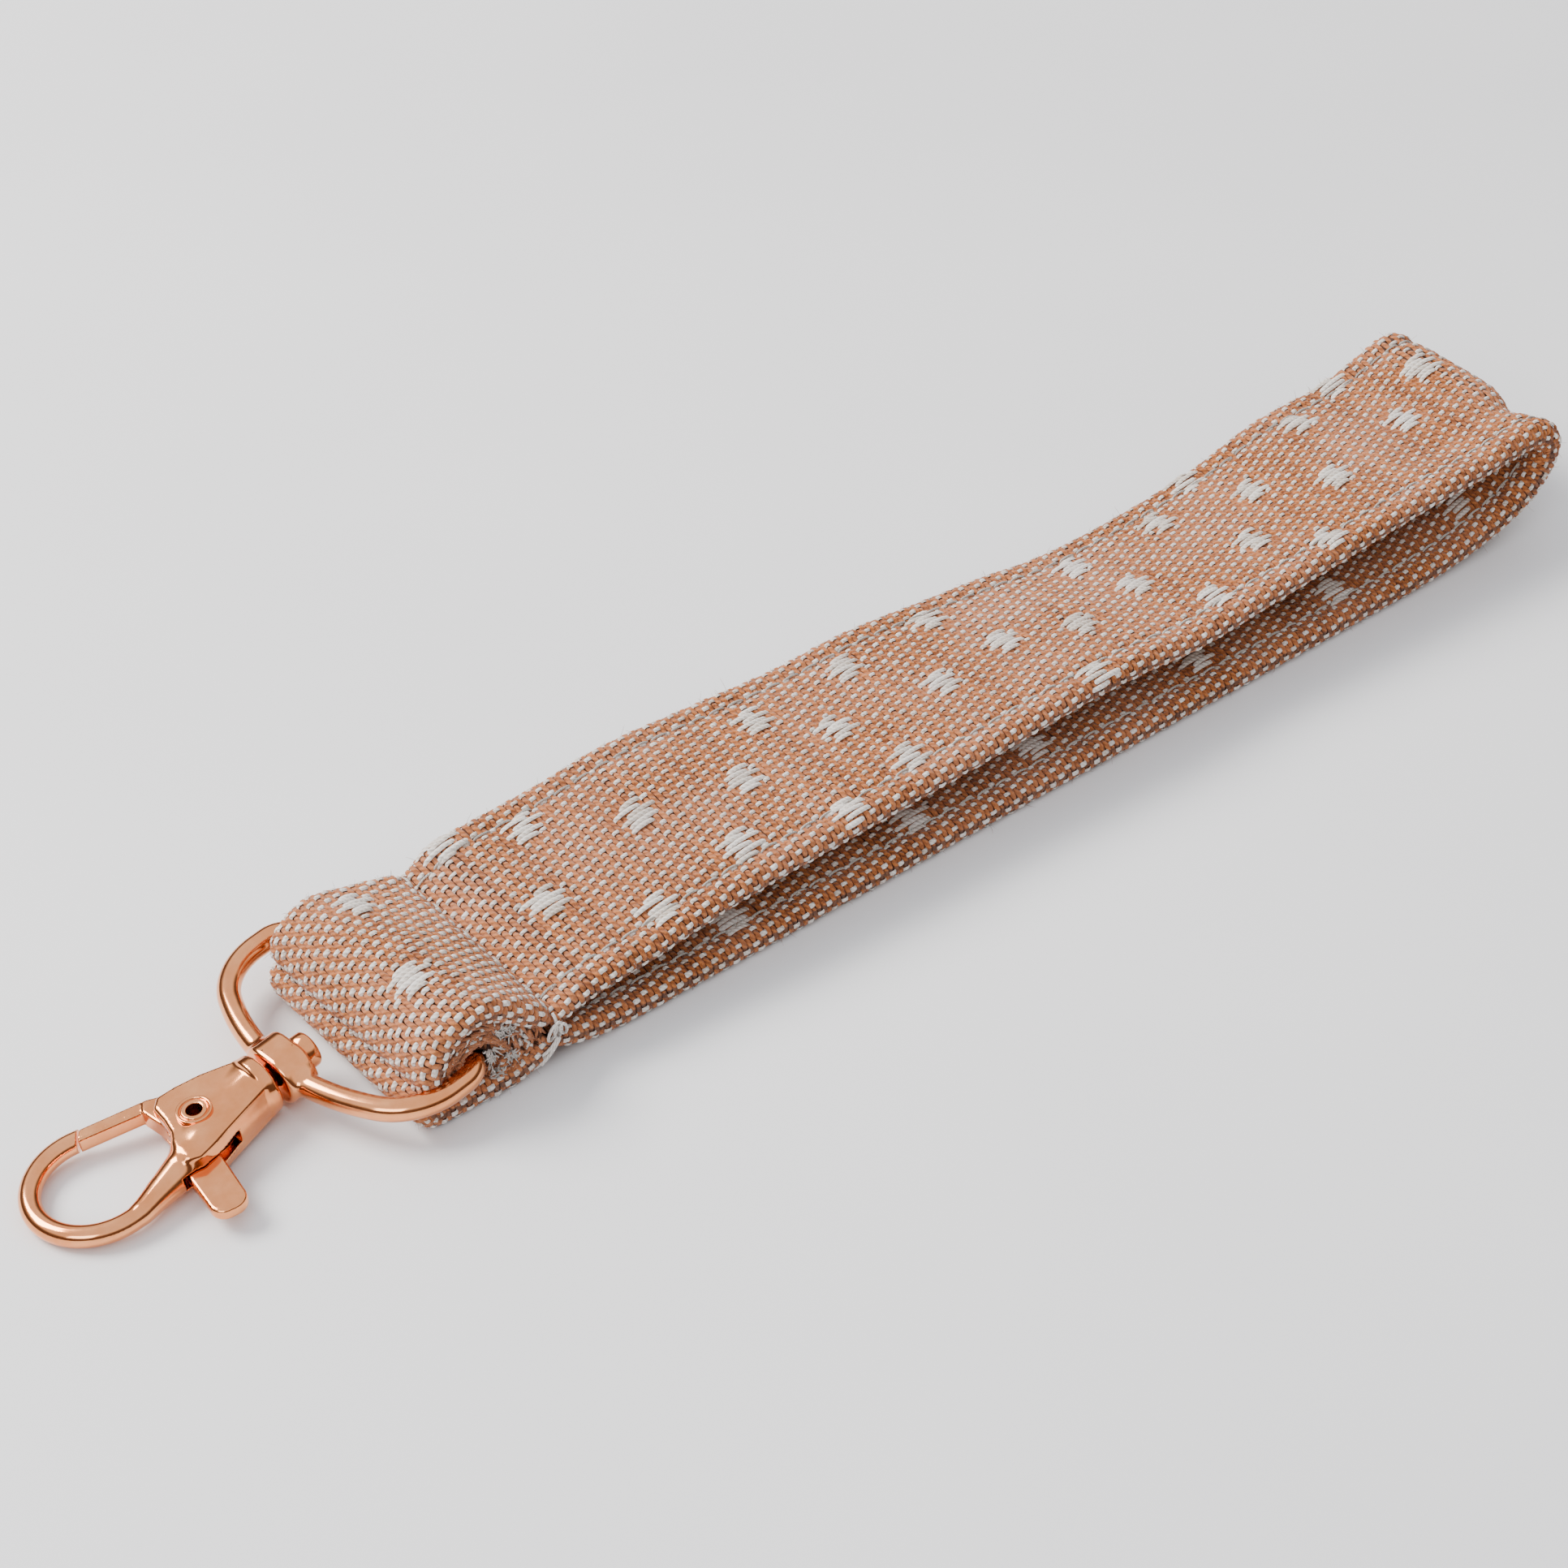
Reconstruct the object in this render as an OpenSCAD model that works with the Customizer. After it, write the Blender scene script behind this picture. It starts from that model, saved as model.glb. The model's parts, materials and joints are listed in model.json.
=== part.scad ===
/* [Strap] */
// Width of the folded fabric strap
strap_w = 32; // [28:1:33]
// Length from the throat stitching to the far fold
loop_len = 172.5; // [150:2.5:200]
// Thickness of the felt interlining in the strap
interlining_t = 1; // [0.6:0.1:1.4]
// Width of the felt interlining in the strap
interlining_w = 25; // [18:1:27]
// Distance of the topstitching from the strap's long edges
stitch_inset = 3.6; // [2.5:0.1:6]
// Radius of the sewing thread
thread_r = 0.2; // [0.1:0.05:0.3]

/* [D ring] */
// Radius of the D ring's wire
wire_r = 1.45; // [1.2:0.05:1.7]
// Half of the D ring's width, to the middle of the wire
ring_half_w = 18.15; // [18:0.05:20]
// Distance from the middle of the bar to the middle of the bow
ring_depth = 15.2; // [14:0.1:18]
// Radius of the bow's two shoulders
shoulder_r = 8.5; // [7.5:0.1:9]
// Radius of the bends from the shoulders into the bar
corner_r = 3; // [2.5:0.1:3.5]
// Turn of the hardware about the vertical, against the strap
hardware_yaw = 6.5; // [0:0.5:10]

/* [Snap hook] */
// Half of the height of the hook's two cheek plates
cheek_half_h = 2.75; // [2.65:0.05:3.2]
// Half of the height of the slot between the plates
slot_half_h = 1.4; // [1.35:0.05:1.6]
// Radius of the hook's round bow, to the middle of the wire
bow_r = 7.45; // [7:0.05:8]
// Radius of the wire that the bow is made of
bow_wire_r = 1.3; // [1.1:0.05:1.5]
// Height of the gate lever
gate_h = 2.6; // [2.4:0.05:2.6]
// Width of the gate's closing bar
gate_w = 1.8; // [1.4:0.1:2]
// Height of the gate's closing bar
gate_bar_h = 2.2; // [1.8:0.1:2.4]

/* [Hidden] */
$fn = 64;
fabric_colour = "#c98a63";
felt_colour = "#e6e0d6";
thread_colour = "#e9e2d6";
rose_gold_colour = "#d98762";
steel_colour = "#9a9a9e";

// The drawing starts at the throat, the seam that shuts the pocket. x runs along the strap to
// the far fold, y across it and z up from the table. The row's origin is the foot of the whole
// object's middle, which lies at this place.
middle = [56.4, 1.65];

// The strap's middle line: part of the loop's length, height, how much the far edge stands
// above the near edge, and thickness.
STRAP_LINE = [
    [0, 6.9, 0.6, 2.7],
    [0.04, 9.2, 3, 3],
    [0.09, 9.9, 2.6, 3],
    [0.17, 11.2, 1.7, 3],
    [0.26, 11.2, 0.2, 3],
    [0.35, 11.3, -0.6, 3],
    [0.44, 11.3, -1.7, 3],
    [0.52, 10.8, -3.4, 3],
    [0.61, 9.9, -4.4, 3],
    [0.7, 10.6, -4.8, 3],
    [0.78, 11.8, -4, 3],
    [0.86, 13.4, -1.6, 3],
    [0.92, 14.2, -0.6, 3],
    [0.955, 15.4, 0, 3.2],
    [0.98, 15, 0.4, 3.4],
    [0.99, 12.3, 0.4, 3.4],
    [0.986, 9.2, 0.2, 3.4],
    [0.975, 6.6, 0, 3.2],
    [0.955, 4.5, 0, 3],
    [0.92, 2.8, 0, 3],
    [0.88, 1.9, 0, 3],
    [0.84, 1.56, 0, 3],
    [0.7, 1.5, 0, 3],
    [0.5, 1.5, 0, 3],
    [0.3, 1.5, 0, 3],
    [0.15, 1.5, 0, 3],
    [0.06, 1.6, 0, 3],
    [0.025, 2.5, 0, 2.9],
    [0, 3.9, 0, 2.7]
];
upper_end = 13;
fold_end = 21;
line_end = len(STRAP_LINE) - 1;
stitch_end = 19;
upper_rings = [for (u = [0:0.5:upper_end]) u];
fold_rings = [for (u = [upper_end:0.25:fold_end]) u];
lower_rings = [for (u = [fold_end:0.5:line_end]) u];
all_rings = concat(upper_rings, [for (i = [1:len(fold_rings) - 1]) fold_rings[i]],
                   [for (i = [1:len(lower_rings) - 1]) lower_rings[i]]);
stitch_rings = [for (u = [0.15:0.35:stitch_end]) u];
ring_sides = 12;
thread_sides = 8;
felt_clearance = 0.05;

// The pocket's side outline, from the top of the throat round the front to its underside
POCKET_LINE = [
    [0, 8.2], [-2.5, 10], [-5.5, 11.6], [-9, 12.8], [-12.5, 12.8], [-15.4, 11.5],
    [-17.5, 9.2], [-18.4, 7.2], [-17.9, 5.6], [-18.9, 4.2], [-18.9, 2.4], [-17.2, 0.6],
    [-14.5, 0], [-7, 0], [-4, 0.4], [-1.5, 1.5], [0, 2.55]
];
pocket_steps = 3;
throat_gap = 0.7;
raw_end_t = 1.3;
raw_end_len = 7;
bar_clearance = 0.3;
corner_clearance = 1.05;
arm_clearance = 0.35;

// The snap hook lies on the table on the edge of its lower plate and on its bow.
cheek_edge_x = 16.8;
bow_centre = [24.6, -2.4];
bow_tip_x = bow_centre.x + bow_r;
hook_pitch = atan((cheek_half_h - bow_wire_r) / (bow_tip_x - cheek_edge_x));
hub_height = cheek_edge_x * sin(hook_pitch) + cheek_half_h * cos(hook_pitch);
hub = [-26.8, 0.4, hub_height];

// D ring: the front arc's radius follows from the arcs that it meets.
shoulder_x = 4.5;
shoulder_y = ring_half_w - shoulder_r;
front_gap = ring_depth - shoulder_x;
front_r = (front_gap ^ 2 + shoulder_y ^ 2 - shoulder_r ^ 2) / (2 * (front_gap - shoulder_r));
front_angle = atan2(shoulder_y, front_r - front_gap);
// Room at the pocket's near end for the ring's shoulder: distance from the bar, and along it
shoulder_room_r = shoulder_r - wire_r - arm_clearance - 0.1;
SHOULDER_ROOM = concat(
    [for (i = [0:4])
        [shoulder_x + shoulder_room_r * sin(i * 12), shoulder_y + shoulder_room_r * cos(i * 12)]],
    [[14, 13.5], [14, 20], [shoulder_x, 20]]
);
bar_half = ring_half_w - corner_r;
ball_r = wire_r + 0.12;
ball_gap = 0.2;
hub_back = -2.3;
hub_front = 1.8;
hub_half_h = 3.2;
hub_half_w = 4.3;
hub_bore_r = 1.6;
pin_r = 1.55;
pin_head_r = 2.5;
pin_head_len = 2.6;
pin_end = 7;

collar_r = 3.8;
collar_start = 2.6;
collar_end = 4.4;
rivet_x = 11.8;
rivet_r = 1.55;
rivet_hole_r = 1.1;
rivet_flange_r = 2.05;
rivet_flange_t = 0.35;
slot_start = 7.4;
lever_hub_r = 3.6;
lever_bore_r = 1.6;
lever_swing_r = 3.9;
gate_tip_r = 13.6;
nose_r = 13.85;
spring_wire_r = 0.18;
spring_pitch = 0.38;
spring_sides = 8;
spring_end_len = 0.9;
spring_r = 2;
spring_recess_r = 2.5;
spring_recess_depth = 1.5;
spring_turns = 3;
tab_half_t = 0.8;

// Point u of a smooth curve through a list of points
function smooth(p, u) =
    let (n = len(p) - 1, i = min(floor(u), n - 1), t = u - i)
    let (a = p[max(i - 1, 0)], b = p[i], c = p[i + 1], d = p[min(i + 2, n)])
    b + (c - a) * t / 2 + (2 * a - 5 * b + 4 * c - d) * t ^ 2 / 2
    + (3 * b - a - 3 * c + d) * t ^ 3 / 2;

// The strap's middle at u, the direction out of the loop there, and a point of its section:
// v across the strap and h outwards
function strap_mid(u) = let (s = smooth(STRAP_LINE, u)) [s[0] * loop_len, s[1]];
function strap_out(u) =
    let (d = strap_mid(min(u + 0.02, line_end)) - strap_mid(max(u - 0.02, 0)))
    [-d.y, d.x] / norm(d);
function strap_point(u, v, h) =
    let (m = strap_mid(u), o = strap_out(u), lift = smooth(STRAP_LINE, u)[2])
    [m.x + o.x * h, v, m.y + o.y * h + lift * v / strap_w];

// A number raised to a power with its sign kept, for sections between an oval and an oblong
function signed_power(x, e) = sign(x) * abs(x) ^ e;
function section_ring(u, w, t) = [
    for (j = [0:ring_sides - 1])
        let (a = 360 * j / ring_sides)
        strap_point(u, w / 2 * signed_power(cos(a), 0.3), t / 2 * signed_power(sin(a), 0.5))
];
function thread_ring(u, v) = [
    for (j = [0:thread_sides - 1])
        let (a = 360 * j / thread_sides, t = smooth(STRAP_LINE, u)[3])
        strap_point(u, v + thread_r * cos(a), t / 2 + thread_r * (1.1 + sin(a)))
];

// Faces between neighbouring rings of k points, starting at point number first
function wall(rings, k, first) = [
    for (i = [0:rings - 2], j = [0:k - 1])
        let (a = first + i * k + j, b = first + i * k + (j + 1) % k)
        each [[a, a + k, b + k], [a, b + k, b]]
];
function turned(faces) = [for (f = faces) [f[2], f[1], f[0]]];
function washer(k, outer, inner) = [
    for (j = [0:k - 1])
        let (n = (j + 1) % k)
        each [[outer + j, outer + n, inner + n], [outer + j, inner + n, inner + j]]
];
function sum_of(lists) = [for (list = lists) each list];

module swept(rings) {
    k = len(rings[0]);
    last = (len(rings) - 1) * k;
    polyhedron(sum_of(rings), concat(
        wall(len(rings), k, 0),
        [[for (j = [0:k - 1]) j]],
        [[for (j = [0:k - 1]) last + k - 1 - j]]), convexity = 6);
}

module sleeve(outer, inner) {
    k = len(outer[0]);
    count = len(outer);
    total = count * k;
    last = total - k;
    polyhedron(concat(sum_of(outer), sum_of(inner)), concat(
        wall(count, k, 0),
        turned(wall(count, k, total)),
        washer(k, 0, total),
        turned(washer(k, last, total + last))), convexity = 8);
}

module strap_piece(rings) {
    thickness = [for (u = rings) smooth(STRAP_LINE, u)[3]];
    outer = [for (i = [0:len(rings) - 1]) section_ring(rings[i], strap_w, thickness[i])];
    inner = [for (u = rings) section_ring(u, interlining_w + 2 * felt_clearance,
                                          interlining_t + 2 * felt_clearance)];
    sleeve(outer, inner);
}

// Moves the drawing from the throat to the row's origin
module placed() {
    translate([-middle.x, -middle.y, 0]) children();
}

// The hardware's own frame: x from the swivel to the hook's tip, y towards the thumb tab
module at_hub() {
    placed() translate(hub) rotate([0, hook_pitch, hardware_yaw + 180]) children();
}

// A rod from point a to point b in the hardware's middle plane
module rod(a, b, r1, r2) {
    d = b - a;
    translate([a.x, a.y, 0]) rotate([0, 0, atan2(d.y, d.x)]) rotate([0, 90, 0])
        cylinder(h = norm(d), r1 = r1, r2 = r2);
}

// A bent rod round a centre in the hardware's middle plane
module bend(centre, radius, from, sweep, r) {
    translate([centre.x, centre.y, 0]) rotate([0, 0, from])
        rotate_extrude(angle = sweep) translate([radius, 0]) circle(r = r);
}

module strap_upper_run() {
    color(fabric_colour) placed() strap_piece(upper_rings);
}

module strap_far_fold() {
    color(fabric_colour) placed() strap_piece(fold_rings);
}

module strap_lower_run() {
    color(fabric_colour) placed() strap_piece(lower_rings);
}

module strap_interlining() {
    color(felt_colour) placed()
        swept([for (u = all_rings) section_ring(u, interlining_w, interlining_t)]);
}

// An outline in x and z drawn out across the strap, between two places on y
module across(outline, y_low, y_high) {
    translate([0, y_high, 0]) rotate([90, 0, 0]) linear_extrude(height = y_high - y_low)
        polygon(outline);
}

upper_raw_outline = [[-0.6, 5.4], [-0.6 - raw_end_len, 8.1],
                     [-0.6 - raw_end_len, 8.1 + raw_end_t], [-0.6, 5.4 + raw_end_t]];
lower_raw_outline = [[-0.6, 3.9], [-0.6 - raw_end_len, 2.9],
                     [-0.6 - raw_end_len, 2.9 + raw_end_t], [-0.6, 3.9 + raw_end_t]];
raw_end_y = [-strap_w / 2 + 2.9, strap_w / 2 - 1];

module pocket_wrap() {
    outline = [
        for (i = [0:pocket_steps * (len(POCKET_LINE) - 1)])
            let (p = smooth(POCKET_LINE, i / pocket_steps))
            [min(p.x, -throat_gap), max(p.y, 0)]
    ];
    color(fabric_colour) difference() {
        placed() across(outline, -strap_w / 2, strap_w / 2);
        placed() across(upper_raw_outline, raw_end_y[0], raw_end_y[1]);
        placed() across(lower_raw_outline, raw_end_y[0], raw_end_y[1]);
        at_hub() translate([-ring_depth, 0, 0]) {
            rotate([90, 0, 0]) cylinder(h = 2 * strap_w, r = wire_r + bar_clearance, center = true);
            translate([0, bar_half - 0.3, 0]) rotate([-90, 0, 0])
                cylinder(h = strap_w, r = wire_r + corner_clearance);
            translate([-strap_w, ring_half_w - wire_r - arm_clearance, -strap_w])
                cube(2 * strap_w);
            rotate([-90, 0, 0]) rotate_extrude() polygon(SHOULDER_ROOM);
        }
    }
}

module upper_raw_end() {
    color(fabric_colour) placed() across(upper_raw_outline, raw_end_y[0], raw_end_y[1]);
}

module lower_raw_end() {
    color(fabric_colour) placed() across(lower_raw_outline, raw_end_y[0], raw_end_y[1]);
}

module near_topstitching() {
    color(thread_colour) placed()
        swept([for (u = stitch_rings) thread_ring(u, stitch_inset - strap_w / 2)]);
}

module far_topstitching() {
    color(thread_colour) placed()
        swept([for (u = stitch_rings) thread_ring(u, strap_w / 2 - stitch_inset)]);
}

module throat_stitching() {
    stitch_len = strap_w - 5;
    reach = STRAP_LINE[0][3] / 2 + thread_r + 0.4;
    color(thread_colour) placed()
        for (z = [STRAP_LINE[0][1] + reach, STRAP_LINE[line_end][1] - reach])
            translate([0, 0, z]) rotate([90, 0, 0])
                cylinder(h = stitch_len, r = thread_r, center = true);
}

module thread_knot() {
    loop_r = 1.3;
    loop_gap = 0.7;
    color(thread_colour) placed()
        for (i = [-1:1])
            translate([i * loop_gap, -strap_w / 2 - 2 * thread_r, 5.2]) rotate([0, 90, 0])
                scale([1, 0.25, 1]) cylinder(h = 2 * thread_r, r = loop_r, center = true);
}

// A ball where two bent rods meet, with its poles inside them
module joint_ball(at, direction, r) {
    translate([at.x, at.y, 0]) rotate([0, 90, direction]) sphere(r = r);
}

// A bent rod that stops just short of the balls at its two ends
module bend_between_balls(centre, radius, from, sweep) {
    trim = ball_gap / radius * 180 / PI;
    bend(centre, radius, from + trim, sweep - 2 * trim, wire_r);
}

module d_ring() {
    color(rose_gold_colour) at_hub() difference() {
        union() {
            bend_between_balls([-front_r, 0], front_r, -front_angle, 2 * front_angle);
            for (side = [-1, 1]) {
                shoulder = [shoulder_x - ring_depth, side * shoulder_y];
                side_end = [corner_r - ring_depth, side * ring_half_w];
                bend_between_balls(shoulder, shoulder_r, side > 0 ? front_angle : -90,
                                   90 - front_angle);
                rod([shoulder.x - ball_gap, side_end.y], side_end, wire_r, wire_r);
                bend([side_end.x, side * bar_half], corner_r, side > 0 ? 90 : 180, 90, wire_r);
                for (angle = [front_angle, 90])
                    joint_ball([shoulder.x + shoulder_r * cos(angle),
                                shoulder.y + side * shoulder_r * sin(angle)],
                               side * (angle + 90), ball_r);
            }
            rod([-ring_depth, -bar_half], [-ring_depth, bar_half], wire_r, wire_r);
            swivel_hub();
        }
        translate([hub_back - 1, 0, 0]) rotate([0, 90, 0])
            cylinder(h = hub_front - hub_back + 2, r = hub_bore_r);
    }
}

// The oblong boss with round sides in the middle of the bow
module swivel_hub() {
    flat_half = hub_half_w - hub_half_h;
    length = hub_front - hub_back;
    for (side = [-1, 1])
        translate([hub_back, side * flat_half, 0]) rotate([0, 90, 0])
            cylinder(h = length, r = hub_half_h);
    translate([hub_back, -flat_half, -hub_half_h])
        cube([length, 2 * flat_half, 2 * hub_half_h]);
}

module swivel_pin() {
    head_start = hub_back - 0.1;
    color(rose_gold_colour) at_hub() rotate([0, 90, 0]) {
        translate([0, 0, head_start - pin_head_len]) {
            cylinder(h = 0.6, r1 = pin_head_r - 0.6, r2 = pin_head_r);
            translate([0, 0, 0.6]) cylinder(h = pin_head_len - 0.6, r = pin_head_r);
        }
        translate([0, 0, head_start]) cylinder(h = pin_end - head_start, r = pin_r);
    }
}

// The hook's two cheek plates seen from above
module cheek_outline() {
    polygon([[4.4, -3.4], [8, -4.6], [11, -5.3], [13.2, -5.5], [14.3, -5.1], [14.7, -4],
             [14.9, -1.9], [15.5, 0], [16.4, 1.4], [cheek_edge_x, 3], [16.6, 5], [15.6, 5.7],
             [14, 5.5], [9, 4.3], [4.4, 3.4]]);
}

module hook_body() {
    nose_angle = -112;
    spine_angle = 122;
    spine_start = [14.6, 2.5];
    spine_end = bow_centre + bow_r * [cos(spine_angle), sin(spine_angle)];
    slot_h = 2 * slot_half_h;
    color(rose_gold_colour) at_hub() difference() {
        union() {
            translate([collar_start, 0, 0]) rotate([0, 90, 0])
                cylinder(h = collar_end - collar_start, r = collar_r);
            translate([0, 0, -cheek_half_h]) linear_extrude(height = 2 * cheek_half_h)
                cheek_outline();
            rod(spine_start, spine_end, 2.5, bow_wire_r);
            joint_ball(spine_end, spine_angle - 90, bow_wire_r + 0.12);
            bend(bow_centre, bow_r, nose_angle, spine_angle - nose_angle, bow_wire_r);
        }
        translate([slot_start, -8, -slot_half_h]) cube([14.6 - slot_start, 16, slot_h]);
        translate([14, 3, -slot_half_h]) cube([4.2, 5.4, slot_h]);
        translate([14, -8, -slot_half_h]) cube([1.4, 6.4, slot_h]);
        translate([rivet_x, 0, -slot_half_h]) cylinder(h = slot_h, r = lever_swing_r);
        translate([rivet_x, 0, -cheek_half_h - 1])
            cylinder(h = 2 * cheek_half_h + 2, r = rivet_r);
        rotate([0, 90, 0]) cylinder(h = pin_end, r = pin_r);
        translate([rivet_x, 0, -5]) intersection() {
            cylinder(h = 10, r = nose_r);
            translate([2, -20, 0]) cube([20, 14, 10]);
        }
    }
}

module pivot_rivet() {
    color(rose_gold_colour) at_hub() translate([rivet_x, 0, 0]) difference() {
        union() {
            cylinder(h = 2 * cheek_half_h, r = rivet_r, center = true);
            for (side = [-1, 1])
                translate([0, 0, side * (cheek_half_h + rivet_flange_t / 2)])
                    cylinder(h = rivet_flange_t, r = rivet_flange_r, center = true);
        }
        cylinder(h = 4 * cheek_half_h, r = rivet_hole_r, center = true);
    }
}

module gate_lever() {
    bar_start = [14.4, -6.8];
    bar_end = [23, -9.55];
    bar = bar_end - bar_start;
    recess_z = gate_h / 2 - spring_recess_depth;
    color(rose_gold_colour) at_hub() difference() {
        union() {
            translate([rivet_x, 0, 0]) cylinder(h = gate_h, r = lever_hub_r, center = true);
            translate([0, 0, -gate_h / 2]) linear_extrude(height = gate_h)
                polygon([[9, -2.2], [10.4, -5], [12.6, -6.8], [14.2, -7.6], [15.2, -6.1],
                         [14.8, -2]]);
            intersection() {
                translate([bar_start.x, bar_start.y, -gate_bar_h / 2])
                    rotate([0, 0, atan2(bar.y, bar.x)])
                    translate([-1, -gate_w / 2, 0]) cube([norm(bar) + 1, gate_w, gate_bar_h]);
                translate([rivet_x, 0, 0]) cylinder(h = gate_h, r = gate_tip_r, center = true);
            }
            thumb_tab();
        }
        translate([rivet_x, 0, 0]) cylinder(h = 2 * gate_h, r = lever_bore_r, center = true);
        translate([rivet_x, 0, recess_z]) cylinder(h = gate_h, r = spring_recess_r);
        translate([rivet_x - 5, -3.3, recess_z]) cube([4, 4.3, gate_h]);
    }
}

// The flat tab that the thumb pulls, with round corners at its end
module thumb_tab() {
    corner = 1.85;
    translate([0, 0, -tab_half_t]) {
        linear_extrude(height = 2 * tab_half_t)
            polygon([[11.8, 3], [12.5, 5.4], [14, 10.4], [15.9, 12], [17.2, 11.8],
                     [18.6, 10.1], [17.4, 5.6], [14.9, 3.6], [14.5, 3.3], [14.5, 2]]);
        for (p = [[15.8, 10.2], [16.8, 10]])
            translate([p.x, p.y, 0]) cylinder(h = 2 * tab_half_t, r = corner);
    }
}

// A round section of the spring's wire: its angle round the coil, its middle and its height
function spring_ring(angle, middle, z) = [
    for (j = [0:spring_sides - 1])
        let (a = -360 * j / spring_sides)
        let (d = spring_wire_r * cos(a))
        [middle.x + d * cos(angle), middle.y + d * sin(angle), z + spring_wire_r * sin(a)]
];

module gate_spring() {
    first_z = gate_h / 2 - spring_recess_depth + spring_wire_r + 0.02;
    leg_len = rivet_x - slot_start - 0.1;
    last_angle = 360 * spring_turns - 90;
    top_z = first_z + spring_pitch * spring_turns;
    rings = concat(
        [spring_ring(-90, [-leg_len, -spring_r], first_z)],
        [for (a = [-90:18:last_angle])
            spring_ring(a, spring_r * [cos(a), sin(a)], first_z + spring_pitch * (a + 90) / 360)],
        [spring_ring(last_angle, [spring_end_len, -spring_r], top_z)]);
    color(steel_colour) at_hub() translate([rivet_x, 0, 0]) swept(rings);
}

strap_upper_run();
strap_far_fold();
strap_lower_run();
strap_interlining();
pocket_wrap();
upper_raw_end();
lower_raw_end();
near_topstitching();
far_topstitching();
throat_stitching();
thread_knot();
d_ring();
swivel_pin();
hook_body();
pivot_rivet();
gate_lever();
gate_spring();
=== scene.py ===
"""Looks of the wristlet keychain: a woven wrist loop, its D ring and its swivel snap hook.

Fabric is built thread by thread. A band of cloth is a grid of cells, pick by warp: each pick is
one orange thread across the band, and the white warp shows as small ovals where it ties a pick
down, and as bundles of longer floats where the cloth has a woven dot.
Lengths here are in millimetres, in the drawing's frame at the throat: x along the strap to the
far fold, y across it to the far edge, z up from the floor. placed() turns them into the row frame.
"""
import json
import math

import bpy
import numpy as np
from mathutils import Matrix, Vector


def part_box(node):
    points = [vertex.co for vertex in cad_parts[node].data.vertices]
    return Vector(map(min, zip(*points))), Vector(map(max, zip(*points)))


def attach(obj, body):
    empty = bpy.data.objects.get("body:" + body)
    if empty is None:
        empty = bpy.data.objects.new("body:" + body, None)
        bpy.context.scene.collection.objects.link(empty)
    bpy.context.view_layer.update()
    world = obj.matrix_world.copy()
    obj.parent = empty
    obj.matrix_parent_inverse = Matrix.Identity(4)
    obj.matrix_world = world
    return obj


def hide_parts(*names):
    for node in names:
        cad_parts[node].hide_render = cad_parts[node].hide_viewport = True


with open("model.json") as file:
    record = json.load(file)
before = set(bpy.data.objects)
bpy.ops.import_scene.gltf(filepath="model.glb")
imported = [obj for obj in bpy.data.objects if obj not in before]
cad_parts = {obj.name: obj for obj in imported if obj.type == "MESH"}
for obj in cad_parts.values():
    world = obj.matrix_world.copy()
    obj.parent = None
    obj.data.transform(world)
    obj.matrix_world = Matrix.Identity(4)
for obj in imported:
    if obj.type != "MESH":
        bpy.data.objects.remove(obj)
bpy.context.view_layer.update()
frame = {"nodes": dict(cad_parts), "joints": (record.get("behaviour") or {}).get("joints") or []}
random = np.random.default_rng(7)

MM = 0.001
throat_low, throat_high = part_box("throat_stitching")
THROAT = np.array([(throat_low.x + throat_high.x) / 2, (throat_low.y + throat_high.y) / 2, 0])
joints = {joint["name"]: joint for joint in frame["joints"]}

STRAP_W = 32.0
HALF_W = STRAP_W / 2
PICK = 0.76
WARPS = 110
TIE_REPEAT = 5
STITCH_IN = 3.6
LEAST_Z = 0.55

# The strap's middle line from the throat along the top, round the far fold and back along the
# floor, at its near edge and at its far edge
STRAP_NEAR = [
    (0, 6.4), (5.6, 8.0), (14.7, 8.8), (22, 9.8), (31, 10.6), (45, 11.1), (57, 11.5), (69, 11.9),
    (82, 12.6), (93, 12.6), (103, 11.8), (116, 12.7), (131, 13.7), (144, 14.5), (156, 14.9),
    (163, 15.5), (167.5, 15.5), (170, 14.3), (170.9, 12.2), (170.2, 10), (168, 7.5), (164.5, 5.4),
    (160, 3.8), (153.5, 2.5), (146, 1.85), (135, 1.6), (110, 1.55), (80, 1.55), (50, 1.55),
    (25, 1.55), (10, 1.6), (4, 2.4), (0, 3.7)]
STRAP_FAR = [
    (0, 7.4), (5.6, 10.2), (14.7, 10.8), (22, 11.2), (31, 12.1), (45, 11.4), (57, 10.7), (69, 11),
    (82, 9.8), (93, 8.8), (103, 7.5), (116, 7.4), (131, 8.9), (144, 12), (156, 12.6),
    (164, 14.2), (169.3, 15.7), (172.1, 14.8), (173, 12.6), (172.6, 10.2), (171, 7.6), (168, 5.6),
    (163, 4.1), (156, 2.7), (147, 1.85), (135, 1.6), (110, 1.55), (80, 1.55), (50, 1.55),
    (25, 1.55), (10, 1.6), (4, 2.4), (0, 3.7)]

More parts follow.
